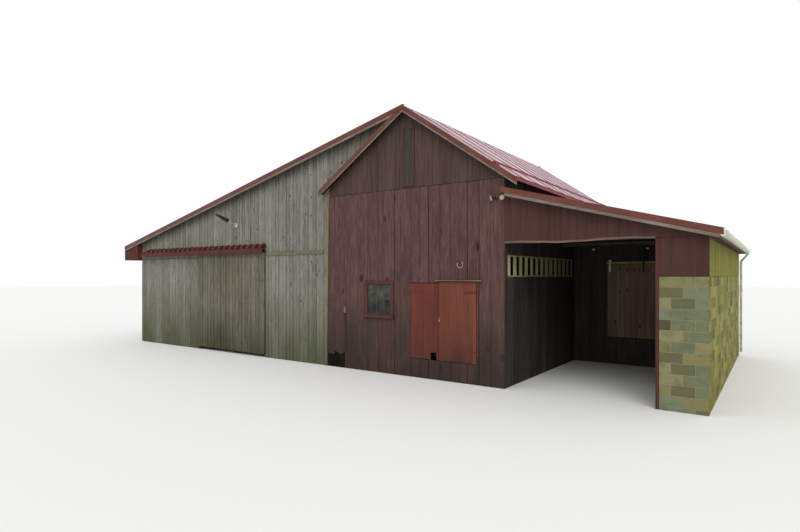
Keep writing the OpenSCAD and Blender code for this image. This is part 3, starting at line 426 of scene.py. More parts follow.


# Old window glass: near black as painted shade of the dim room behind, under a grey film that is partly dusty
# and partly painted reflection, thinner on the lower panes
def glass(add, place, look):
    height = add("SeparateXYZ", place).outputs["Z"]
    film = add("MapRange", height, *look["lowerPanes"], 0.45)
    # a grey film, partly dusty and partly painted reflection
    dustAndReflection = add("TexNoise", place, 1000 / look["dustMm"], 3.0)
    dustAndReflection = add("MapRange", dustAndReflection, 0.3, 0.7, 0.0, film)
    return {"Base Color": layered(add, linear(look["tints"][0]), [(dustAndReflection, look["tints"][1])]), "IOR": 1.52,
            "Transmission Weight": 0.12, "Specular IOR Level": 0.15,
            "Roughness": add("MapRange", dustAndReflection, 0.0, 1.0, 0.05, 0.3)}


# Lamp glass gone yellow
def bulb(add, place, look):
    haze = add("TexNoise", place, 1000 / look["hazeMm"], 3.0)
    return {"Base Color": layered(add, linear(look["tints"][0]), [(haze, look["tints"][1])]),
            "Roughness": 0.2}


# A material whose shader takes what its paint function works out from a look
def makeMaterial(name, paint, look):
    material = bpy.data.materials.new(name)
    material.use_nodes = True
    material.node_tree.nodes.clear()
    add = partial(addNode, material.node_tree)
    place = add("TexCoord").outputs["Object"]
    add("OutputMaterial", add("BsdfPrincipled", **paint(add, place, look)))
    return material


# Finishes with a paint of their own
otherFinishes = {
    # coarse sand, paler than the blocks
    "sandyMortar": (mortar, {"tints": ("#7d795d", "#9c987b"), "sandMm": 6.25}),
    # near black as painted shade, with a grey film high up, dusty and partly painted reflection
    "dustyGlass": (glass, {"tints": ("#10120f", "#4d544c"), "dustMm": 200, "lowerPanes": (1.8, 2.0)}),
    # straw yellow
    "yellowedBulb": (bulb, {"tints": ("#a9a56b", "#ccc893"), "hazeMm": 25}),
}
materials = {name: makeMaterial(name, paint, look) for name, (paint, look) in otherFinishes.items()}
kinds = (wood, plainWood, woods), (steel, plainSteel, steels), (concrete, plainBlock, blocks)
for paint, plain, looks in kinds:
    for name, look in looks.items():
        materials[name] = makeMaterial(name, paint, {**plain, **look})
print("materials made", len(materials))

# What each node of the frame that stays in view is made of
nodeFinish = {
    "main_roof": "chalkedRoofSheet", "old_roof": "chalkedRoofSheet", "wing_roof": "chalkedRoofSheet",
    "shed_roof": "chalkedRoofSheet", "window_glass": "dustyGlass", "left_hinges": "paintedHinge",
    "right_hinges": "paintedHinge", "jamb_hinges": "paintedHinge", "horseshoe": "wornShoeIron",
}
for node, finish in nodeFinish.items():
    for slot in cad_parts[node].material_slots:
        slot.material = materials[finish]
print("frame nodes finished", len(nodeFinish))


# Starts a tree with named inputs, where None makes a material input, and reads the attributes of its marks
def newTree(name, inputs, attributes=()):
    tree = bpy.data.node_groups.new(name, "GeometryNodeTree")
    tree.interface.new_socket("Marks", in_out="INPUT", socket_type="NodeSocketGeometry")
    kinds = {float: "Float", int: "Int", tuple: "Vector", type(None): "Material"}
    for label, start in inputs.items():
        kind = "NodeSocket" + kinds[type(start)]
        socket = tree.interface.new_socket(label, in_out="INPUT", socket_type=kind)
        if start is not None:
            socket.default_value = start
    tree.interface.new_socket("Geometry", in_out="OUTPUT", socket_type="NodeSocketGeometry")
    add = partial(addNode, tree)
    mark = {key: add("InputNamedAttribute FLOAT", key) for key in attributes}
    return tree, add, add("GroupInput").outputs, mark


# Puts a shape on each point, makes it real, and gives it its finish where it needs no more shaping
def spread(add, points, shape, finish=None, **turned):
    copies = add("InstanceOnPoints", points, Instance=shape, **turned)
    real = add("RealizeInstances", copies)
    if finish:
        add("GroupOutput", add("SetMaterial", real, Material=finish))
    return real


# One vertex for each thing that a tree will build, with its sizes as attributes
def markMesh(marks):
    mesh = bpy.data.meshes.new("marks")
    mesh.from_pydata([mark.get("at", (0, 0, 0)) for mark in marks], [], [])
    for key in marks[0]:
        if key != "at":
            values = [mark[key] for mark in marks]
            mesh.attributes.new(key, "FLOAT", "POINT").data.foreach_set("value", values)
    return mesh


# Runs a tree over the marks, turned to face the right way, and returns the plain mesh
def runTree(tree, marks, values, turn=0):
    holder = bpy.data.objects.new("holder", markMesh(marks))
    bpy.context.collection.objects.link(holder)
    modifier = holder.modifiers.new("build", "NODES")
    modifier.node_group = tree
    for item in tree.interface.items_tree:
        if item.in_out == "INPUT" and item.name in values:
            modifier[item.identifier] = values[item.name]
    ready = holder.evaluated_get(bpy.context.evaluated_depsgraph_get())
    mesh = bpy.data.meshes.new_from_object(ready)
    bpy.data.objects.remove(holder)
    for spare in [layer.name for layer in mesh.attributes if layer.name in marks[0] and layer.name != "tone"]:
        mesh.attributes.remove(mesh.attributes[spare])
    mesh.transform(Matrix.Rotation(math.radians(turn), 4, "Z"))
    return mesh


# Joins meshes into one piece that rides on a body and stands for nodes of the frame
def addPiece(name, meshes, body, slot, *nodes):
    parts = [bpy.data.objects.new(name, mesh) for mesh in meshes]
    for part in parts:
        bpy.context.collection.objects.link(part)
    if len(parts) > 1:
        with bpy.context.temp_override(active_object=parts[0], selected_editable_objects=parts):
            bpy.ops.object.join()
    piece = parts[0]
    piece.name = name
    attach(piece, body)
    if nodes:
        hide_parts(*nodes)
    return piece


# Boards: a blank for each mark, stretched between its own ends, with eased edges and joints that waver
def makeBoardTree():
    sizes = {"Thickness": 0.022, "Ease": 0.012, "Set back": 0.003, "Lap": 0.012, "Waver": 0.004,
             "Ragged": 0.0, "Finish": None}
    tree, add, given, mark = newTree("boards", sizes, ("centre", "half", "foot", "top", "footSlope",
                                                       "topSlope", "face", "tone", "soilLeft", "soilRight"))
    boards = spread(add, given["Marks"], add("MeshCube", None, 5, 2, 9))
    across, back, up = add("SeparateXYZ", add("InputPosition")).outputs
    side = add("Math SIGN", across)
    outer = add("Math GREATER_THAN", add("Math ABSOLUTE", across), 0.4)
    rear = add("Math GREATER_THAN", back, 0.0)
    rise = add("Math ADD", up, 0.5)
    # dirt in the joints, and how far each point lies under a sloped top, which sets the painted shade under
    # the eaves
    onRight = add("Math GREATER_THAN", across, 0.0)
    soil = add("Mix FLOAT", onRight, mark["soilLeft"], mark["soilRight"])
    dirt = add("Math MULTIPLY", outer, soil)
    tall = add("Math SUBTRACT", mark["top"], mark["foot"])
    along = add("Math MULTIPLY", rise, tall)
    level = add("Math COMPARE", mark["topSlope"], 0.0, 0.001)
    below = add("Math ADD", add("Math SUBTRACT", tall, along), level)
    for name, value in (("edge", dirt), ("below", below)):
        boards = add("StoreNamedAttribute FLOAT", boards, Name=name, Value=value)
    # sideways: half the width, the lap behind the next board, and a slow bend
    inner = add("Math SUBTRACT", mark["half"], given["Ease"])
    half = add("Math MULTIPLY_ADD", outer, given["Ease"], inner)
    own = add("Math MULTIPLY", mark["tone"], 61.0)
    noise = add("TexNoise", add("CombineXYZ", side, own, along), 1.7, 1.0)
    bend = add("Math MULTIPLY", add("Math SUBTRACT", noise, 0.5), given["Waver"])
    x = add("Math MULTIPLY_ADD", side, half, mark["centre"])
    x = add("Math MULTIPLY_ADD", rear, given["Lap"], x)
    x = add("Math ADD", x, bend)
    y = add("Math MULTIPLY_ADD", rear, given["Thickness"], mark["face"])
    y = add("Math MULTIPLY_ADD", outer, given["Set back"], y)
    # upwards: between a foot and a top that may slope, the foot a little ragged
    off = add("Math SUBTRACT", x, mark["centre"])
    top = add("Math MULTIPLY_ADD", off, mark["topSlope"], mark["top"])
    foot = add("Math MULTIPLY_ADD", off, mark["footSlope"], mark["foot"])
    noise = add("TexNoise", add("CombineXYZ", x, own, 7.0), 9.0, 2.0)
    foot = add("Math MULTIPLY_ADD", noise, given["Ragged"], foot)
    z = add("Math MULTIPLY_ADD", rise, add("Math SUBTRACT", top, foot), foot)
    shaped = add("SetPosition", boards, Position=add("CombineXYZ", x, y, z))
    add("GroupOutput", add("SetMaterial", shaped, Material=given["Finish"]))
    return tree


# Blocks: a blank for each mark, with worn edges
def makeBlockTree():
    tree, add, given, mark = newTree("blocks", {"Depth": 0.05, "Ease": 0.006, "Finish": None},
                                     ("centre", "level", "half", "halfHigh", "face"))
    blocks = spread(add, given["Marks"], add("MeshCube", None, 4, 2, 4))
    place = add("InputPosition")
    back = add("SeparateXYZ", place).outputs["Y"]
    reach = add("SeparateXYZ", add("VectorMath ABSOLUTE", place)).outputs
    widest = add("Math MAXIMUM", reach["X"], reach["Z"])
    rim = add("Math GREATER_THAN", widest, 0.4)
    rear = add("Math GREATER_THAN", back, 0.0)
    trimmed = add("Math MULTIPLY", given["Ease"], -1.5)
    wide, high = [add("Math ADD", mark[key], trimmed) for key in ("half", "halfHigh")]
    steps = add("Math MULTIPLY", given["Ease"], 3.0)
    near = add("VectorMath SCALE", place, steps)
    side = add("VectorMath SIGN", place)
    halves = add("CombineXYZ", wide, None, high)
    moved = add("VectorMath MULTIPLY_ADD", side, halves, near)
    moved = add("SeparateXYZ", moved).outputs
    x = add("Math ADD", moved["X"], mark["centre"])
    y = add("Math MULTIPLY_ADD", rear, given["Depth"], mark["face"])
    y = add("Math MULTIPLY_ADD", rim, given["Ease"], y)
    z = add("Math ADD", moved["Z"], mark["level"])
    shaped = add("SetPosition", blocks, Position=add("CombineXYZ", x, y, z))
    add("GroupOutput", add("SetMaterial", shaped, Material=given["Finish"]))
    return tree


# Ribs of a sheet: one at each step, running from the start along the run
def makeRibTree():
    sizes = {"Start": (0.0, 0.0, 0.0), "Run": (1.0, 0.0, 0.0), "Up": (0.0, 0.0, 1.0), "Step": (0.0, 0.2, 0.0),
             "Count": 10, "Foot width": 0.06, "Top width": 0.02, "Height": 0.019, "Finish": None}
    tree, add, given, mark = newTree("ribs", sizes)
    down, aside, up = add("SeparateXYZ", add("InputPosition")).outputs
    down = add("Math ADD", down, 0.5)
    lifted = add("Math ADD", up, 0.5)
    width = add("Mix FLOAT", lifted, given["Foot width"], given["Top width"])
    aside = add("Math MULTIPLY", aside, width)
    lifted = add("Math MULTIPLY", lifted, given["Height"])
    raised = add("VectorMath SCALE", given["Up"], lifted)
    place = add("VectorMath ADD", add("VectorMath SCALE", given["Run"], down), raised)
    sideways = add("VectorMath SCALE", add("VectorMath NORMALIZE", given["Step"]), aside)
    place = add("VectorMath ADD", place, sideways)
    rib = add("SetPosition", add("MeshCube", None, 9, 2, 2), Position=place)
    line = add("MeshLine", given["Count"], given["Start"], given["Step"], mode="OFFSET")
    spread(add, line, rib, given["Finish"])
    return tree


# Screw and nail heads: a low cone with a few sides at each mark
def makeHeadTree():
    sizes = {"Radius": 0.006, "Height": 0.004, "Tilt": (0.0, 0.0, 0.0), "Finish": None}
    tree, add, given, mark = newTree("heads", sizes)
    head = add("MeshCone", 6, None, None, 0.002, given["Radius"], given["Height"])
    spread(add, given["Marks"], head, given["Finish"], Rotation=given["Tilt"])
    return tree


boardTree, blockTree, ribTree, headTree = makeBoardTree(), makeBlockTree(), makeRibTree(), makeHeadTree()


# How far joints stand open, as shares of a wall's gap, and in metres where a board ends at a hole or a corner
opened = {"crack": (0.8, 1.2), "joint": (0.25, 0.7), "tight": (0.1, 0.4), "end": 0.002}
# Nails, two to a board in each row: how far out from its middle, and how far inside its ends
nailing = {"radius": 0.006, "height": 0.003, "aside": 0.62, "wander": 0.03, "overFoot": 0.05,
           "underTop": 0.08, "finish": "rustedIron"}


# Joints of a wall and how far each stands open: the seen joints and cracks, and an even pitch between them
def boardJoints(left, right, look, seed):
    dice = random.Random(seed)
    joints, wander, tight = {left: opened["end"]}, look["wander"], look.get("tight", opened["tight"])
    cracks = look.get("cracks", ())
    for stop in sorted(place for place in look.get("joints", ()) + cracks if left < place < right) + [right]:
        start = max(joints)
        count = max(1, round((stop - start) / look["pitch"]))
        step = (stop - start) / count
        for number in range(1, count):
            wide = look["gap"] * dice.uniform(*tight)
            joints[start + step * (number + dice.uniform(-wander, wander))] = wide
        joints[stop] = look["gap"] * dice.uniform(*opened["crack" if stop in cracks else "joint"])
    return joints


# Marks of the boards in one run of a wall; foot and top are heights or functions of x
def boardMarks(left, right, foot, top, joints, look, dice):
    foot, top = [line if callable(line) else lambda x, flat=line: flat for line in (foot, top)]
    sliver, end = 0.03, opened["end"]
    cuts = [left] + [place for place in sorted(joints) if left + sliver < place < right - sliver] + [right]
    marks = []
    for sides in zip(cuts, cuts[1:]):
        soilLeft, soilRight = [min(1.0, joints.get(place, 2 * end) / look["gap"]) for place in sides]
        leftGap, rightGap = [joints.get(place, end) / 2 for place in sides]
        start, stop = sides[0] + leftGap, sides[1] - rightGap
        centre, width = (start + stop) / 2, stop - start
        marks.append({"centre": centre, "half": width / 2, "soilLeft": soilLeft, "soilRight": soilRight,
                      "foot": foot(centre), "footSlope": (foot(stop) - foot(start)) / width,
                      "top": top(centre), "topSlope": (top(stop) - top(start)) / width,
                      "face": look["face"] + dice.uniform(0, look["proud"]), "tone": dice.random()})
    return marks


# A wall of boards and its nails. A run is left, right, foot and top; joints may be a seed to draw them from
def boardWall(look, runs, joints, turn=0):
    if isinstance(joints, int):
        joints = boardJoints(min(run[0] for run in runs), max(run[1] for run in runs), look, joints)
    dice = random.Random(look["seed"])
    marks = [mark for run in runs for mark in boardMarks(*run, joints, look, dice)]
    values = {"Thickness": look.get("thickness", 0.024), "Ease": look["ease"], "Lap": look["lap"],
              "Set back": look.get("setBack", 0.003), "Waver": look["waver"],
              "Ragged": look.get("ragged", 0.0), "Finish": materials[look["finish"]]}
    meshes = [runTree(boardTree, marks, values, turn)]
    nails = []
    for mark in marks:
        for height in look.get("nailRows", ()):
            for side in (-1, 1):
                if mark["foot"] + nailing["overFoot"] < height < mark["top"] - nailing["underTop"]:
                    across = mark["centre"] + side * mark["half"] * nailing["aside"]
                    up = height + dice.uniform(0, nailing["wander"])
                    nails.append({"at": (across, mark["face"] - 0.001, up), "tone": 0.5})
    if nails:
        values = {"Radius": nailing["radius"], "Height": nailing["height"], "Tilt": (math.pi / 2, 0.0, 0.0),
                  "Finish": materials[nailing["finish"]]}
        meshes.append(runTree(headTree, nails, values, turn))
    return meshes


# A mesh with its finishes from an edited shell
def meshOf(shell, name, *finishes):
    mesh = bpy.data.meshes.new(name)
    for finish in finishes:
        mesh.materials.append(materials[finish])
    shell.to_mesh(mesh)
    shell.free()
    return mesh


# A closed skin over a row of cross sections, each a ring of the same number of points
def loft(sections, finish):
    shell = bmesh.new()
    rings = [[shell.verts.new(point) for point in section] for section in sections]
    shell.faces.new(rings[0])
    shell.faces.new(rings[-1])
    for ring, after in zip(rings, rings[1:]):
        for spot in range(len(ring)):
            beside = (spot + 1) % len(ring)
            shell.faces.new((ring[spot], ring[beside], after[beside], after[spot]))
    bmesh.ops.recalc_face_normals(shell, faces=shell.faces)
    return meshOf(shell, "loft", finish)


# A plank with eased edges between two corners
def plank(lowest, highest, finish, ease=0.003):
    shell = bmesh.new()
    bmesh.ops.create_cube(shell, size=1.0)
    for vert in shell.verts:
        vert.co = Vector([lowest[axis] if vert.co[axis] < 0 else highest[axis] for axis in range(3)])
    bmesh.ops.bevel(shell, geom=shell.edges[:], offset=ease, segments=1, affect="EDGES", clamp_overlap=True)
    return meshOf(shell, "plank", finish)


# Points round a circle, or over a part of it
def arc(radius, sides, start=0.0, end=2 * math.pi):
    turns = [start + (end - start) * side / sides for side in range(sides)]
    return [(radius * math.cos(turn), radius * math.sin(turn)) for turn in turns]


# Holes in the front walls, with the width that their leaves and casings leave free
doorway = {"left": low("left_leaf").x - 0.008, "right": high("right_leaf").x + 0.008,
           "split": high("left_leaf").x + 0.004, "foot": low("left_leaf").z - 0.008,
           "top": high("left_leaf").z + 0.008, "leftDrop": 0.042}
window = {"left": low("window_frame").x + 0.1, "right": high("window_frame").x - 0.1,
          "foot": low("window_frame").z + 0.083, "top": high("window_frame").z - 0.078}
slideway = {"left": low("wing_door").x + 0.06, "right": high("wing_door").x - 0.06}

# Red bay, front: wide upright boards, with cracks that open and close along their length and a rotten foot
redFront = {"face": frontFace, "gap": 0.011, "proud": 0.005, "ease": 0.008, "lap": 0.013, "waver": 0.014,
            "ragged": 0.02, "pitch": 0.25, "wander": 0.14, "finish": "paintedRedPine", "seed": 11,
            "nailRows": (0.6, 2.45, 3.6, 4.6), "cracks": (-0.4, 0.38, 0.63, 1.70, 2.0),
            "joints": (-2.45, -2.07, -1.40, -1.22, -0.92, -0.76, -0.22, 0.12, 0.96, 1.24, 2.3),
            "rotRight": -2.07, "rotTop": 0.36, "rotWave": 0.06, "rotTurn": 23}
joints = boardJoints(cornerX, redRight, redFront, 3)
rotRight, leftTop = redFront["rotRight"], doorway["top"] - doorway["leftDrop"]


# The ragged edge over the rotten foot
def rotLine(x):
    return redFront["rotTop"] + redFront["rotWave"] * math.sin(x * redFront["rotTurn"])


runs = [(cornerX, rotRight, rotLine, seamZ), (rotRight, window["left"], 0.0, seamZ),
        (window["left"], window["right"], 0.0, window["foot"]),
        (window["left"], window["right"], window["top"], seamZ),
        (window["right"], doorway["left"], 0.0, seamZ),
        (doorway["left"], doorway["right"], 0.0, doorway["foot"]),
        (doorway["left"], doorway["split"], leftTop, seamZ),
        (doorway["split"], doorway["right"], doorway["top"], seamZ), (doorway["right"], redRight, 0.0, seamZ)]
boards = boardWall(redFront, runs, joints)
stumps = {**redFront, "face": frontFace + 0.012, "thickness": 0.018, "lap": 0.0, "ragged": 0.0,
          "proud": 0.003, "finish": "rottenPine", "seed": 12, "nailRows": (), "width": 0.13, "count": 5,
          "tops": (0.45, 0.6)}
dice = random.Random(14)
runs = [(cornerX + stumps["width"] * number, cornerX + stumps["width"] * (number + 1), 0.0,
         dice.uniform(*stumps["tops"])) for number in range(stumps["count"])]
addPiece("red_front_boards", boards + boardWall(stumps, runs, joints), "barn", "red_boards", "red_front_wall")

# Gable boards, lapped over the boards below
gable = {"face": gableFace, "gap": 0.009, "proud": 0.004, "ease": 0.009, "lap": 0.012, "waver": 0.010,
         "ragged": 0.012, "thickness": 0.034, "pitch": 0.27, "wander": 0.14, "finish": "gableRedPine",
         "seed": 31, "nailRows": (4.82, 5.7),
         "joints": (-1.6, -1.26, -0.94, -0.44, -0.22, 0.22, 0.30, 0.76, 0.96, 1.3, 1.7)}
runs = [(redLeft, 0.0, seamZ, gableSoffit), (0.0, redRight, seamZ, gableSoffit)]
addPiece("gable_boards", boardWall(gable, runs, 5), "barn", "red_boards", "gable_wall")

# The red bay's rear, turned about, so its left is the barn's right
redRear = {**redFront, "face": -rearFace, "seed": 51, "joints": (), "cracks": (-1.4, 0.3, 1.2)}
lower = boardWall(redRear, [(-redRight, -cornerX, 0.0, seamZ)], 7, 180)
gableRear = {**gable, "face": -rearFace - (frontFace - gableFace), "seed": 61, "joints": ()}
runs = [(-redRight, 0.0, seamZ, lambda x: gableSoffit(-x)), (0.0, -redLeft, seamZ, lambda x: gableSoffit(-x))]
addPiece("red_rear_boards", lower + boardWall(gableRear, runs, 8, 180), "barn", "red_boards", "red_rear_wall")

# Red bay, right side, open as slats along the front bay of the shed
sideBoards = {"face": -high("side_wall").x, "gap": 0.008, "proud": 0.003, "ease": 0.008, "lap": 0.012,
              "waver": 0.006, "pitch": 0.22, "wander": 0.1, "finish": "darkPine", "seed": 71}
slats = {"left": low("slat_band").y, "right": high("slat_band").y, "foot": low("slat_band").z,
         "top": high("slat_band").z, "face": -high("slat_band").x, "rail": 0.034, "railTone": 0.3,
         "count": 14, "width": 0.14, "finish": "slatPine"}
left, right, wallTop = slats["left"], slats["right"], high("side_wall").z
runs = [(wallFront, left, 0.0, wallTop), (left, right, 0.0, slats["foot"]),
        (left, right, slats["top"], wallTop), (right, wallRear, 0.0, wallTop)]
addPiece("side_wall_boards", boardWall(sideBoards, runs, 9, 90), "barn", "dark_boards", "side_wall")
dice = random.Random(5)
step = (right - left - slats["width"]) / (slats["count"] - 1)
level = {"footSlope": 0.0, "topSlope": 0.0, "face": slats["face"]}
# painted shade: the tones step down along the row, so each slat is darker than the one before it towards the
# back
marks = [{**level, "centre": left + slats["width"] / 2 + step * number, "half": slats["width"] / 2,
          "foot": slats["foot"] + slats["rail"], "top": slats["top"] - slats["rail"],
          "tone": 1 - (number + dice.random()) / slats["count"], "soilLeft": 0.4, "soilRight": 0.8}
         for number in range(slats["count"])]
for foot in (slats["foot"], slats["top"] - slats["rail"]):
    marks.append({**level, "centre": (left + right) / 2, "half": (right - left) / 2, "foot": foot,
                  "top": foot + slats["rail"], "tone": slats["railTone"], "soilLeft": 0.0, "soilRight": 0.0})
values = {"Thickness": 0.022, "Ease": 0.004, "Lap": 0.0, "Waver": 0.003, "Finish": materials[slats["finish"]]}
addPiece("side_slats", [runTree(boardTree, marks, values, 90)], "barn", "slat_wood", "slat_band")

# Wing: bare grey boards, with a break at the belt board
wing = {"face": frontFace, "gap": 0.010, "proud": 0.007, "ease": 0.013, "lap": 0.013, "waver": 0.012,
        "ragged": 0.03, "pitch": 0.16, "wander": 0.1, "tight": (0.2, 0.8), "finish": "greyPine", "seed": 91,
        "nailRows": (0.35, 1.65, 2.95, 3.3, 4.4, 5.3), "joints": (-11.6, -10.9, -10.2, -9.4, -8.6, -8.1),
        "cracks": (-7.58, -7.3, -6.96, -6.7, -6.44, -6.02, -5.66, -4.72, -4.40, -4.10, -3.82, -3.48, -3.16)}
joints = {**boardJoints(wingLeft, cornerX, wing, 13), **boardJoints(redLeft, wingMeet, wing, 15)}
runs = [(wingLeft, slideway["left"], 0.0, beltZ), (slideway["right"], cornerX, 0.0, beltZ),
        (wingLeft, cornerX, beltZ, wingSoffit), (cornerX, redLeft, seamZ, wingSoffit),
        (redLeft, wingMeet, oldTop, wingSoffit)]
addPiece("wing_front_boards", boardWall(wing, runs, joints), "barn", "grey_boards", "wing_front_wall")
wingSide = {**wing, "face": wingLeft, "seed": 111, "joints": (), "cracks": (-7.1, -5.8, -4.2, -3.1, -1.6)}
boards = boardWall(wingSide, [(-wallRear, -wallFront, 0.0, wingSoffit(wingLeft))], 17, -90)
addPiece("wing_side_boards", boards, "barn", "grey_boards", "wing_side_wall")
wingRear = {**wing, "face": -rearFace, "seed": 121, "joints": (), "cracks": (4.1, 5.2, 6.7, 7.4, 9.1, 10.3)}
runs = [(-cornerX, -wingLeft, 0.0, wingSoffit), (-redLeft, -cornerX, seamZ, wingSoffit),
        (-wingMeet, -redLeft, oldTop, wingSoffit)]
addPiece("wing_rear_boards", boardWall(wingRear, runs, 19, 180), "barn", "grey_boards", "wing_rear_wall")

# Shed: plain sheets over the opening and on the pier, green boards along the side, red boards at the rear
shedSheet = {"face": frontFace, "gap": 0.003, "proud": 0.0, "ease": 0.004, "setBack": 0.001, "lap": 0.006,
             "waver": 0.0, "ragged": 0.012, "pitch": 1.22, "wander": 0.0, "finish": "redSheet", "seed": 131}
runs = [(redRight, shedRight, headerZ, shedSoffit), (pierLeft, shedRight, blockTop, headerZ)]
sheets = boardWall(shedSheet, runs, boardJoints(redRight, pierLeft, shedSheet, 21))
headStrip = {"foot": headerZ - 0.012, "tall": 0.042, "front": frontFace - 0.004, "back": frontFace + 0.006,
             "swing": 0.016, "swingTurn": 2.6, "swingStart": 0.7, "ripple": 0.004, "rippleTurn": 11,
             "end": pierLeft - 0.06, "steps": 24, "finish": "wornStrip"}
sections = []
for number in range(headStrip["steps"] + 1):
    x = redRight + (headStrip["end"] - redRight) * number / headStrip["steps"]
    swing = headStrip["swing"] * math.sin(x * headStrip["swingTurn"] + headStrip["swingStart"])
    foot = headStrip["foot"] + swing + headStrip["ripple"] * math.sin(x * headStrip["rippleTurn"])
    top = foot + headStrip["tall"]
    sections.append([(x, headStrip["front"], foot), (x, headStrip["back"], foot), (x, headStrip["back"], top),
                     (x, headStrip["front"], top)])
sheets.append(loft(sections, headStrip["finish"]))
addPiece("shed_front_sheets", sheets, "barn", "red_panel", "shed_front_wall")
shedSide = {**wing, "face": -shedRight, "ragged": 0.0, "pitch": 0.2, "ease": 0.006, "gap": 0.004,
            "finish": "mossyPine", "seed": 141, "joints": (), "cracks": (), "nailRows": (2.6, 3.2)}
boards = boardWall(shedSide, [(wallFront, wallRear, blockTop, high("shed_side_boards").z)], 23, 90)
addPiece("shed_side_planks", boards, "barn", "green_boards", "shed_side_boards")
boards = boardWall({**redRear, "seed": 151}, [(-shedRight, -redRight, 0.0, shedSoffit)], 25, 180)
addPiece("shed_rear_boards", boards, "barn", "red_boards", "shed_rear_wall")
print("front, side and rear boards laid")

# Cross wall in the shed, open behind its sliding door
crossBoards = {**sideBoards, "face": low("cross_wall").y, "seed": 161, "topDrop": 0.186}
innerHole = {"left": low("inner_door").x + 0.05, "right": high("inner_door").x - 0.05,
             "foot": low("inner_door").z + 0.05, "top": high("inner_door").z - 0.05}
left, right, crossRight = innerHole["left"], innerHole["right"], high("cross_wall").x
crossTop = slope(shedStart, shedPitch, redRight, roofThickness + crossBoards["topDrop"])
runs = [(redRight, left, 0.0, crossTop), (left, right, 0.0, innerHole["foot"]),
        (left, right, innerHole["top"], crossTop), (right, crossRight, 0.0, crossTop)]
addPiece("cross_wall_boards", boardWall(crossBoards, runs, 27), "barn", "dark_boards", "cross_wall")

# Double door: the left leaf of boards, its lower corner missing, and the right leaf of a grooved sheet
leftLeaf = {"face": frontFace, "gap": 0.003, "proud": 0.001, "ease": 0.006, "lap": 0.0, "waver": 0.002,
            "ragged": 0.01, "thickness": 0.03, "pitch": 0.18, "wander": 0.03, "finish": "doorRedBoards",
            "seed": 171, "holeLeft": 0.689, "holeRight": 0.854, "holeTop": 0.65}
left, right = low("left_leaf").x, high("left_leaf").x
foot, top = low("left_leaf").z, high("left_leaf").z
leftTop = top - doorway["leftDrop"]
runs = [(left, leftLeaf["holeLeft"], foot, leftTop),
        (leftLeaf["holeLeft"], leftLeaf["holeRight"], leftLeaf["holeTop"], leftTop),
        (leftLeaf["holeRight"], right, foot, leftTop)]
boards = boardWall(leftLeaf, runs, boardJoints(left, leftLeaf["holeLeft"], leftLeaf, 29))
addPiece("left_leaf_boards", boards, "left_leaf", "door_paint", "left_leaf")
rightLeaf = {**leftLeaf, "face": frontFace + 0.004, "proud": 0.0, "lap": 0.004, "waver": 0.0,
             "thickness": 0.024, "pitch": 0.1, "wander": 0.0, "finish": "doorRedSheet", "seed": 181,
             "batten": 0.09, "battenBack": frontFace + 0.028}
left, right = low("right_leaf").x, high("right_leaf").x
battenLeft = right - rightLeaf["batten"]
sheet = boardWall(rightLeaf, [(left, battenLeft, foot, top)], 31)
batten = plank((battenLeft, frontFace, foot), (right, rightLeaf["battenBack"], top), "doorRedBatten")
addPiece("right_leaf_sheet", sheet + [batten], "right_leaf", "door_paint", "right_leaf")

# The hasp on the right leaf, with its staple and a padlock
hasp = {"plate": 0.003, "ring": 0.016, "ringLift": 0.03, "rod": 0.004, "lockHalf": 0.019, "lockTall": 0.042,
        "lockDrop": 0.012, "lockFront": 0.006, "lockBack": 0.009}
plateLow, plateHigh = low("latch"), high("latch")
middle, ringZ = (plateLow.x + plateHigh.x) / 2, plateLow.z + hasp["ringLift"]
rings = []
for across, up in arc(1.0, 24)[:13]:
    hub = Vector((middle + hasp["ring"] * across, plateLow.y, ringZ + hasp["ring"] * up))
    rings.append([tuple(hub + Vector((across * out, side, up * out)) * hasp["rod"])
                  for out, side in arc(1.0, 8)])
lockLow = (middle - hasp["lockHalf"], plateLow.y - hasp["lockFront"], plateLow.z - hasp["lockDrop"])
lockHigh = (middle + hasp["lockHalf"], plateLow.y + hasp["lockBack"], lockLow[2] + hasp["lockTall"])
parts = [plank((plateLow.x, plateHigh.y - hasp["plate"], plateLow.z), plateHigh, "paleHasp", 0.001),
         loft(rings, "brassPadlock"), plank(lockLow, lockHigh, "brassPadlock")]
addPiece("hasp_and_padlock", parts, "right_leaf", "iron", "latch")

# The wing's sliding door, of boards like the wall's
slideDoor = {**wing, "face": low("wing_door").y, "thickness": 0.036, "lap": 0.0, "proud": 0.003, "seed": 201,
             "finish": "brownGreyPine", "joints": (),
             "cracks": (-8.46, -8.18, -7.84, -7.48, -7.2, -6.84, -6.4, -5.94, -5.56)}
runs = [(low("wing_door").x, high("wing_door").x, low("wing_door").z, high("wing_door").z)]
addPiece("wing_door_boards", boardWall(slideDoor, runs, 33), "wing_door", "grey_boards", "wing_door")
print("doors made")


# Marks of a block wall in running bond, its courses counted from the top
def blockMarks(left, right, foot, top, look, seed, firstHalf):
    dice = random.Random(seed)
    marks = []
    for course in range(math.ceil((top - foot) / look["high"])):
        ceiling = top - course * look["high"]
        floor = max(foot, ceiling - look["high"])
        first = look["long"] / 2 if (course % 2 == 0) == firstHalf else look["long"]
        cuts = [left]
        while cuts[-1] < right - look["long"] * 0.2:
            cuts.append(min(cuts[-1] + (first if len(cuts) == 1 else look["long"]), right))
        cuts[-1] = right
        for number, (start, end) in enumerate(zip(cuts, cuts[1:])):
            start += 0.001 if start == left else look["joint"] / 2
            end -= 0.001 if end == right else look["joint"] / 2
            tint = dice.choice(look["tints"])
            tint = look["known"].get((course, number), tint)
            marks.append({"centre": (start + end) / 2, "half": (end - start) / 2,
                          "level": (floor + ceiling) / 2, "halfHigh": (ceiling - floor - look["joint"]) / 2,
                          "face": look["face"], "tone": (tint + 0.5) / 6})
    return marks


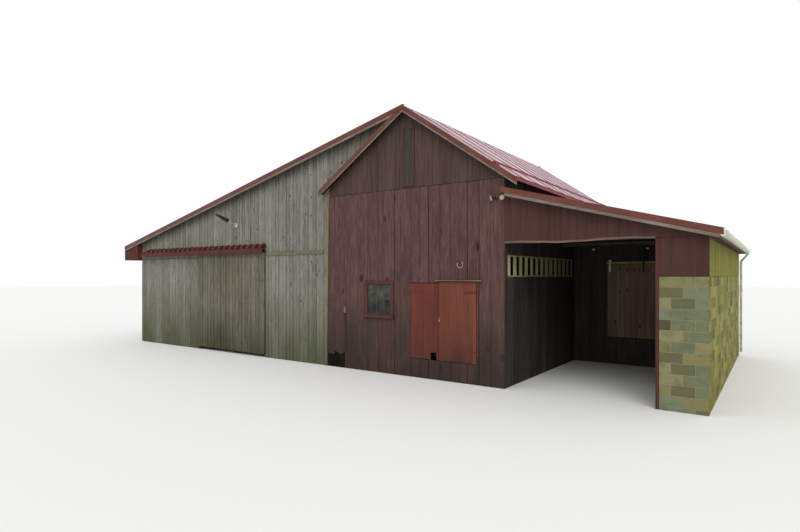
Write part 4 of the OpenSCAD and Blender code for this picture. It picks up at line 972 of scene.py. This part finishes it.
# A copy of a frame node's solids with their flat faces merged
def merged(node):
    shell = bmesh.new()
    shell.from_mesh(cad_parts[node].data)
    bmesh.ops.remove_doubles(shell, verts=shell.verts, dist=0.00001)
    bmesh.ops.dissolve_limit(shell, angle_limit=0.02, verts=shell.verts, edges=shell.edges)
    return shell


# The tints of the pier's upper blocks are as seen, by course and place in it
blockWall = {"long": 0.4064, "high": 0.2032, "joint": 0.010, "depth": 0.05, "ease": 0.004, "recess": 0.005,
             "mortar": "sandyMortar", "thick": 0.194, "seed": 40,
             "tints": (0, 0, 1, 1, 2, 2, 3, 4, 4, 4, 5, 5),
             "known": {(0, 0): 0, (0, 1): 0, (0, 2): 5, (1, 0): 1, (1, 1): 2, (2, 0): 5, (2, 1): 1, (2, 2): 2,
                       (3, 0): 2, (3, 1): 4, (4, 0): 3, (4, 1): 4, (4, 2): 4}}
innerX = shedRight - blockWall["thick"]
pierBack = -frontFace - blockWall["thick"]
faces = [(pierLeft, shedRight, frontFace, 0, True, "pittedBlock"),
         (frontFace, wallRear, -shedRight, 90, False, "mossyBlock"),
         (-wallRear, pierBack, innerX, -90, True, "pittedBlock"),
         (-shedRight, -pierLeft, pierBack, 180, True, "pittedBlock"),
         (pierBack, -frontFace, pierLeft, -90, False, "pittedBlock")]
shell = merged("block_walls")  # the mortar: the frame's solids drawn in a little on every side
outward = [sum((face.normal for face in vert.link_faces), Vector()) for vert in shell.verts]
for vert, out in zip(shell.verts, outward):
    vert.co -= out * blockWall["recess"]
meshes = [meshOf(shell, "mortar", blockWall["mortar"])]
for number, (left, right, face, turn, firstHalf, finish) in enumerate(faces):
    look = {**blockWall, "face": face, "known": blockWall["known"] if number == 0 else {}}
    marks = blockMarks(left, right, 0.0, blockTop, look, blockWall["seed"] + number, firstHalf)
    values = {"Depth": blockWall["depth"], "Ease": blockWall["ease"], "Finish": materials[finish]}
    meshes.append(runTree(blockTree, marks, values, turn))
addPiece("block_courses", meshes, "barn", "blocks", "block_walls")
print("block walls laid")


# A copy of a frame node with rounded edges, where each solid has its own tone; pick says by its number which
# of the finishes a face takes, from its middle and the way it faces
def softened(piece, node, finishes, rounding, slot, body="barn", pick=None):
    shell = merged(node)
    sharp = [edge for edge in shell.edges if edge.is_manifold and edge.calc_face_angle(0.0) > 0.5]
    bmesh.ops.bevel(shell, geom=sharp, offset=rounding, segments=1, affect="EDGES", clamp_overlap=True)
    tone = shell.verts.layers.float.new("tone")
    dice = random.Random(len(node))
    left = dict.fromkeys(shell.verts)
    while left:
        start = next(iter(left))
        reached, island = {start}, {start}
        while reached:
            reached = {edge.other_vert(vert) for vert in reached for edge in vert.link_edges} - island
            island |= reached
        own = dice.random()
        for vert in island:
            del left[vert]
            vert[tone] = own
    for face in shell.faces:
        face.smooth = True
        face.material_index = int(pick(face.calc_center_median(), face.normal)) if pick else 0
    mesh = meshOf(shell, piece, *finishes)
    mesh.set_sharp_from_angle(angle=0.45)
    return addPiece(piece, [mesh], body, slot, node)


# Places where a piece changes its finish
jambX, postReach, jambBack = pierLeft - 0.03, 0.04, 0.1
stripDepth, stripFoot, underside, upperSide = 0.01, 4.5, -0.3, 0.5
ventFront, lampFront, lampFoot = gableFace - 0.008, frontFace - 0.33, 3.262
eaveEdge = high("main_roof").x
innerMiddle = (low("inner_door").x + high("inner_door").x) / 2
floodMiddle, floodReach = (low("flood_lights").x + high("flood_lights").x) / 2, 0.115


# The strip along the steep eave, else the trim's underside or its face
def trimFinish(middle, facing):
    onStrip = 0 <= middle.x - eaveEdge < stripDepth and middle.z > stripFoot
    return 2 if onStrip else facing.z < underside


# Timber, trim and sheet metal whose form the frame already has
softPieces = {
    "sill_timbers": ("sills", ["sawnAcross"], 0.006, "frame_timber"),
    "beam_timbers": ("beams", ["sawnAcross"], 0.006, "frame_timber"),
    "rafter_timbers": ("rafters", ["sawnAcross"], 0.004, "frame_timber"),
    "rake_boards": ("roof_edge_boards", ["paleRakeBoards"], 0.003, "pale_boards"),
    "boxed_eaves": ("eave_boxes", ["eaveRedBoards"], 0.003, "eave_boards"),
    "corner_board": ("corner_strip", ["bareUpright"], 0.004, "bare_timber"),
    "belt_rail": ("belt_board", ["bareAcross"], 0.004, "bare_timber"),
    "door_drip": ("drip_board", ["mossyDripBoard"], 0.003, "bare_timber"),
    "post_timbers": ("posts", ["sawnUpright", "paintedPost"], 0.006, "frame_timber", "barn",
                     lambda middle, facing: abs(middle.x - jambX) < postReach and middle.y < jambBack),
    "window_casing": ("window_frame", ["windowPaint", "sashPaint"], 0.003, "window_paint", "barn",
                      lambda middle, facing: middle.y > frontFace),
    "rail_and_brackets": ("door_tracks", ["filmedZincRail", "darkIron"], 0.002, "rail_metal", "barn",
                          lambda middle, facing: middle.x < 0),
    "vent_louvre_board": ("gable_vent", ["ventBoards", "gableRedPine"], 0.003, "vent_wood", "barn",
                          lambda middle, facing: middle.y < ventFront),
    "rake_and_ridge_trims": ("roof_trims", ["redTrimSteel", "shadedTrimSteel", "brightDripSteel"], 0.012,
                             "red_trim", "barn", trimFinish),
    "plywood_door": ("inner_door", ["plywoodBrown"], 0.003, "plywood", "inner_door"),
    "wing_door_rollers": ("wing_door_hangers", ["brownGreyIron"], 0.001, "iron", "wing_door"),
    "inner_door_rollers": ("inner_door_hangers", ["algaeWhiteCoil", "darkIron"], 0.001, "rail_metal",
                           "inner_door", lambda middle, facing: middle.x > innerMiddle),
    "corner_flood_lamps": ("flood_lights", ["lampHousing", "yellowedBulb"], 0.002, "lamp_housing", "barn",
                           lambda middle, facing: abs(middle.x - floodMiddle) > floodReach),
    "yard_lamp": ("yard_light", ["palePaintedTube", "lampHousing"], 0.003, "lamp_housing", "barn",
                  lambda middle, facing: middle.y < lampFront),
    "shed_bulb_holders": ("shed_lamps", ["lampHousing", "yellowedBulb"], 0.002, "lamp_holder", "barn",
                          lambda middle, facing: middle.z < lampFoot),
    # the hood's faces that turn up take the painted shade between its ribs
    "rail_hood": ("track_hood", ["hoodRedSteel", "hoodPanSteel"], 0.003, "red_trim", "barn",
                  lambda middle, facing: facing.z > upperSide),
}
for piece, values in softPieces.items():
    softened(piece, *values)
print("timbers, trims and lamps rounded")

# Bars of the window, three panes wide and two high
muntins = {"half": 0.011, "upright": (-0.989, -0.736), "across": (1.92,), "front": frontFace + 0.006,
           "deep": 0.016, "inset": 0.001, "sash": 0.024, "finish": "sashPaint"}
left, right = window["left"] + muntins["sash"], window["right"] - muntins["sash"]
foot, top = window["foot"] + muntins["sash"], window["top"] - muntins["sash"]
half, front, back = muntins["half"], muntins["front"], muntins["front"] + muntins["deep"]
bars = [plank((x - half, front, foot), (x + half, back, top), muntins["finish"]) for x in muntins["upright"]]
bars += [plank((left, front + muntins["inset"], z - half), (right, back - muntins["inset"], z + half),
               muntins["finish"]) for z in muntins["across"]]
addPiece("window_bars", bars, "barn", "window_paint")

# A batten nailed over a crack at the red wall's left, with a pale block on its head
batten = {"left": -2.075, "right": -2.03, "foot": 0.49, "top": 1.62, "out": 0.022, "block": 0.012,
          "blockFoot": 1.52, "blockTop": 1.68}
left, right, top = batten["left"], batten["right"], batten["top"]
front, block = frontFace - batten["out"], batten["block"]
parts = [plank((left, front, batten["foot"]), (right, frontFace + 0.004, top), "darkPine"),
         plank((left - block, front - block, batten["blockFoot"]),
               (right + block, frontFace + 0.002, batten["blockTop"]), "bareUpright")]
addPiece("crack_batten", parts, "barn", "red_boards")


# Ribs from a start along a run, the next a step on; the profile is foot width, top width and height
def ribs(start, run, up, step, count, profile, finish):
    values = {"Start": tuple(start), "Run": tuple(run), "Up": tuple(up), "Step": tuple(step),
              "Count": count, "Foot width": profile[0], "Top width": profile[1], "Height": profile[2],
              "Finish": materials[finish]}
    return runTree(ribTree, [{"tone": 0.5}], values)


# Deep ribs on the hood over the wing door's rail
hoodRibs = {"pitch": 0.29, "profile": (0.15, 0.125, 0.08), "end": 0.12, "fall": -0.068,
            "finish": "hoodRedSteel"}
hoodLow, hoodHigh, pitch = low("track_hood"), high("track_hood"), hoodRibs["pitch"]
count = int((hoodHigh.x - hoodLow.x) / pitch)
start = (hoodHigh.x - hoodRibs["end"] - (count - 1) * pitch, frontFace - 0.004, hoodHigh.z - 0.003)
run = (0.0, hoodLow.y - frontFace + 0.005, hoodRibs["fall"])
mesh = ribs(start, run, (0.0, 0.0, 1.0), (pitch, 0.0, 0.0), count, hoodRibs["profile"], hoodRibs["finish"])
addPiece("hood_ribs", [mesh], "barn", "red_trim")

# Gutter: a round bottomed trough with a bead along its lip, stop ends, and a downspout bent back to the wall
gutter = {"left": 6.7803, "drop": 0.1103, "wall": 0.003, "bead": 0.006, "beadDrop": 0.004, "sides": 10,
          "cap": 0.003, "capInset": 0.0008, "spout": 0.036, "corner": 0.012, "spoutOut": 0.0625,
          "spoutFromRear": 0.1125, "outletBends": ((0.0, 0.006), (0.0, -0.03), (-0.02, -0.06)),
          "wallBends": ((0.02, -0.22), (0.0, -0.26)), "straps": (0.63, 1.89), "strap": 0.03,
          "strapOut": 0.006, "finish": "algaeWhiteCoil", "capFinish": "cleanWhiteCoil"}
gutterLeft, gutterRight = gutter["left"], high("gutter").x
gutterFoot, gutterTop = low("shed_roof").z - gutter["drop"], high("gutter").z - 0.002
outletX = (gutterRight + gutterLeft) / 2


# Outline of the trough, drawn in by an inset
def troughRing(inset):
    radius = (gutterRight - gutterLeft) / 2 - inset
    level = gutterFoot + radius + inset
    bottom = [(outletX + x, level + z) for x, z in arc(radius, gutter["sides"], math.pi, 2 * math.pi)]
    bottom.append((outletX + radius * math.cos(2 * math.pi), level + radius * math.sin(2 * math.pi)))
    return [(bottom[0][0], gutterTop)] + bottom + [(bottom[-1][0], gutterTop)]


# A skin over one outline in x and z, carried from one place in y to another
def carried(outline, front, rear, finish):
    return loft([[(x, y, z) for x, z in outline] for y in (front, rear)], finish)


front, rear = roofFront + 0.001, roofRear - 0.001
parts = [carried(troughRing(0.0) + troughRing(gutter["wall"])[::-1], front, rear, gutter["finish"])]
for y in (front, rear - gutter["cap"]):
    parts.append(carried(troughRing(gutter["capInset"]), y, y + gutter["cap"], gutter["capFinish"]))
for x in (gutterLeft + gutter["bead"], gutterRight - gutter["bead"]):
    bead = [(x + out, gutterTop - gutter["beadDrop"] + up) for out, up in arc(gutter["bead"], 8)]
    parts.append(carried(bead, front, rear, gutter["finish"]))
spoutY, spoutX = wallRear - gutter["spoutFromRear"], shedRight + gutter["spoutOut"]
bends = [(outletX, *bend) for bend in gutter["outletBends"]]
bends += [(spoutX, *bend) for bend in gutter["wallBends"]]
spine = [(x + across, gutterFoot + up) for x, across, up in bends] + [(spoutX, low("gutter").z)]
half, cut = gutter["spout"], gutter["spout"] - gutter["corner"]
square = [(-half, -cut), (-cut, -half), (cut, -half), (half, -cut), (half, cut), (cut, half), (-cut, half),
          (-half, cut)]
sections = [[(x + across, spoutY + along, z) for across, along in square] for x, z in spine]
parts.append(loft(sections, gutter["finish"]))
for z in gutter["straps"]:
    reach = half + gutter["strapOut"]
    parts.append(plank((shedRight + 0.0005, spoutY - reach, z), (spoutX + half + 0.002, spoutY + reach,
                       z + gutter["strap"]), gutter["finish"], 0.001))
addPiece("gutter_and_downspout", parts, "barn", "gutter_metal", "gutter")
print("hood and gutter made")

# Ribs pressed in the roof sheets, the side laps' higher ribs, and the screws
roofSheets = {"pitch": 0.2286, "profile": (0.05, 0.02, 0.019), "screwRows": 0.65, "screwAside": 0.18,
              "screwRadius": 0.007, "screwHeight": 0.005, "sheet": 0.9144, "seam": (0.06, 0.028, 0.028),
              "ribs": "chalkedRibSheet", "seams": "ribRedSheet", "screws": "chalkedRoofSheet", "crest": 0.165,
              "wall": 0.03, "eave": 0.02, "sides": 0.16, "screwEnd": 0.03, "screwSpan": 0.94}
pitch, crest, eave = roofSheets["pitch"], roofSheets["crest"], roofSheets["eave"]
slopes = {"main_roof_ribs": (crest, high("main_roof").x - eave, mainTop),
          "wing_roof_ribs": (-crest, low("wing_roof").x + eave, wingTop),
          "shed_roof_ribs": (redRight + roofSheets["wall"], high("shed_roof").x - eave, shedTop)}
count = int((roofRear - roofFront - roofSheets["sides"]) / pitch)
laps = int(count * pitch / roofSheets["sheet"])
firstRib = (roofFront + roofRear - (count - 1) * pitch) / 2
for piece, (start, end, surface) in slopes.items():
    run = Vector((end - start, 0, surface(end) - surface(start)))
    up = Vector((-run.z, 0, run.x)).normalized()
    up = up if up.z > 0 else -up
    meshes = [ribs((start, firstRib, surface(start)), run, up, (0.0, pitch, 0.0), count,
                   roofSheets["profile"], roofSheets["ribs"]),
              ribs((start, firstRib + pitch, surface(start)), run, up, (0.0, roofSheets["sheet"], 0.0),
                   laps, roofSheets["seam"], roofSheets["seams"])]
    rows = int(run.length / roofSheets["screwRows"])
    marks = []
    for row in range(rows + 1):
        share = roofSheets["screwEnd"] + roofSheets["screwSpan"] * row / rows
        place = Vector((start, 0, surface(start))) + run * share + up * 0.0015
        marks += [{"at": (place.x, firstRib + (rib + roofSheets["screwAside"]) * pitch, place.z), "tone": 0.5}
                  for rib in range(count - 1)]
    values = {"Radius": roofSheets["screwRadius"], "Height": roofSheets["screwHeight"],
              "Tilt": (0.0, math.atan2(up.x, up.z), 0.0), "Finish": materials[roofSheets["screws"]]}
    addPiece(piece, meshes + [runTree(headTree, marks, values)], "barn", "roof_metal")

# The folded end of the shed's first sheet, from the red wall to where the trim starts
shedEnd = {"places": (2.6303, 2.7146), "front": -0.3108, "back": -0.3053, "rise": 0.004, "drop": 0.105}
front, back, rise, drop = [shedEnd[key] for key in ("front", "back", "rise", "drop")]
sections = [[(x, front, shedTop(x) + rise), (x, back, shedTop(x) + rise),
             (x, back, shedTop(x) - drop), (x, front, shedTop(x) - drop)] for x in shedEnd["places"]]
addPiece("shed_end_trim", [loft(sections, "redTrimSteel")], "barn", "red_trim")

# The steep left slope's pale board, carried on up to the peak under the wing's board
peakBoard = {"places": (-0.3415, -0.166, -0.055), "lift": 0.075, "show": 0.125, "wingShow": 0.1455,
             "thick": 0.03}
parts = []
for y in (roofFront + 0.0005, roofRear - peakBoard["thick"]):
    sections = []
    for x in peakBoard["places"]:
        top = min(oldTop(x) - peakBoard["lift"], wingTop(x) - peakBoard["wingShow"])
        foot, back = oldTop(x) - peakBoard["show"], y + peakBoard["thick"] - 0.0005
        sections.append([(x, y, top), (x, y, foot), (x, back, foot), (x, back, top)])
    parts.append(loft(sections, "paleRakeBoards"))
addPiece("peak_boards", parts, "barn", "pale_boards")

# A raised lap where the steep slope's lower sheets begin, and the drip at its foot
roofLap = {"lap": (2.46, (0.12, 0.04, 0.055)), "drip": (eaveEdge - 0.016, (0.03, 0.024, 0.022)),
           "end": 0.03, "finish": "brightDripSteel"}
steep = Vector((1.0, 0.0, -mainPitch)).normalized()
run = (0.0, roofRear - roofFront - 2 * roofLap["end"], 0.0)
meshes = [ribs((x, roofFront + roofLap["end"], mainTop(x)), run, (-steep.z, 0.0, steep.x), steep, 1,
               profile, roofLap["finish"]) for x, profile in (roofLap["lap"], roofLap["drip"])]
addPiece("main_roof_lap", meshes, "barn", "red_trim")
print("roof ribs and screws made")


# Camera at the photograph's place: level, turned left, a 24 mm lens, with a small upward shift
def makeCamera():
    view = {"place": (7.605, -11.158, 2.545), "turn": 35.3, "lens": 24.0, "film": 36.0, "shift": 9 / 800,
            "farthest": 200}
    camera = bpy.data.cameras.new("camera")
    camera.lens, camera.sensor_width = view["lens"], view["film"]
    camera.shift_y = view["shift"]
    camera.clip_end = view["farthest"]
    rig = bpy.data.objects.new("camera", camera)
    rig.location = view["place"]
    rig.rotation_euler = (math.radians(90), 0, math.radians(view["turn"]))
    bpy.context.collection.objects.link(rig)
    bpy.context.scene.camera = rig


# Soft studio light: an even pale dome and one broad lamp from the right and above
def makeLight():
    light = {"dome": 0.9, "key": 1.1, "keySpread": 40, "keyTilt": 48, "keyTurn": 35}
    world = bpy.data.worlds.new("studio")
    bpy.context.scene.world = world
    world.use_nodes = True
    world.node_tree.nodes.clear()
    add = partial(addNode, world.node_tree)
    ray = add("LightPath").outputs
    seen = add("Math MAXIMUM", ray["Is Camera Ray"], ray["Is Glossy Ray"])
    seen = add("Math MAXIMUM", seen, ray["Is Transmission Ray"])
    strength = add("MapRange", seen, 0.0, 1.0, light["dome"], 1.0)
    add("OutputWorld", add("Background", (1.0, 1.0, 1.0, 1.0), strength))
    lamp = bpy.data.lights.new("key", "SUN")
    lamp.energy, lamp.angle = light["key"], math.radians(light["keySpread"])
    key = bpy.data.objects.new("key", lamp)
    key.rotation_euler = (math.radians(light["keyTilt"]), 0, math.radians(light["keyTurn"]))
    bpy.context.collection.objects.link(key)


# A plain pale floor that melts into the white background
def makeFloor():
    look = {"colour": "#e9e9e7", "rough": 0.9, "reach": 120.0, "level": -0.001}
    reach, level = look["reach"], look["level"]
    corners = [(x * reach, y * reach, level) for x, y in ((-1, -1), (1, -1), (1, 1), (-1, 1))]
    mesh = bpy.data.meshes.new("floor")
    mesh.from_pydata(corners, [], [(0, 1, 2, 3)])
    mesh.materials.append(makeMaterial("studioFloor", lambda add, place, look: {
        "Base Color": linear(look["colour"]), "Roughness": look["rough"]}, look))
    floor = bpy.data.objects.new("floor", mesh)
    bpy.context.collection.objects.link(floor)


makeCamera()
makeLight()
makeFloor()
bpy.context.scene.view_settings.view_transform = "Standard"
print("camera, light and floor made")
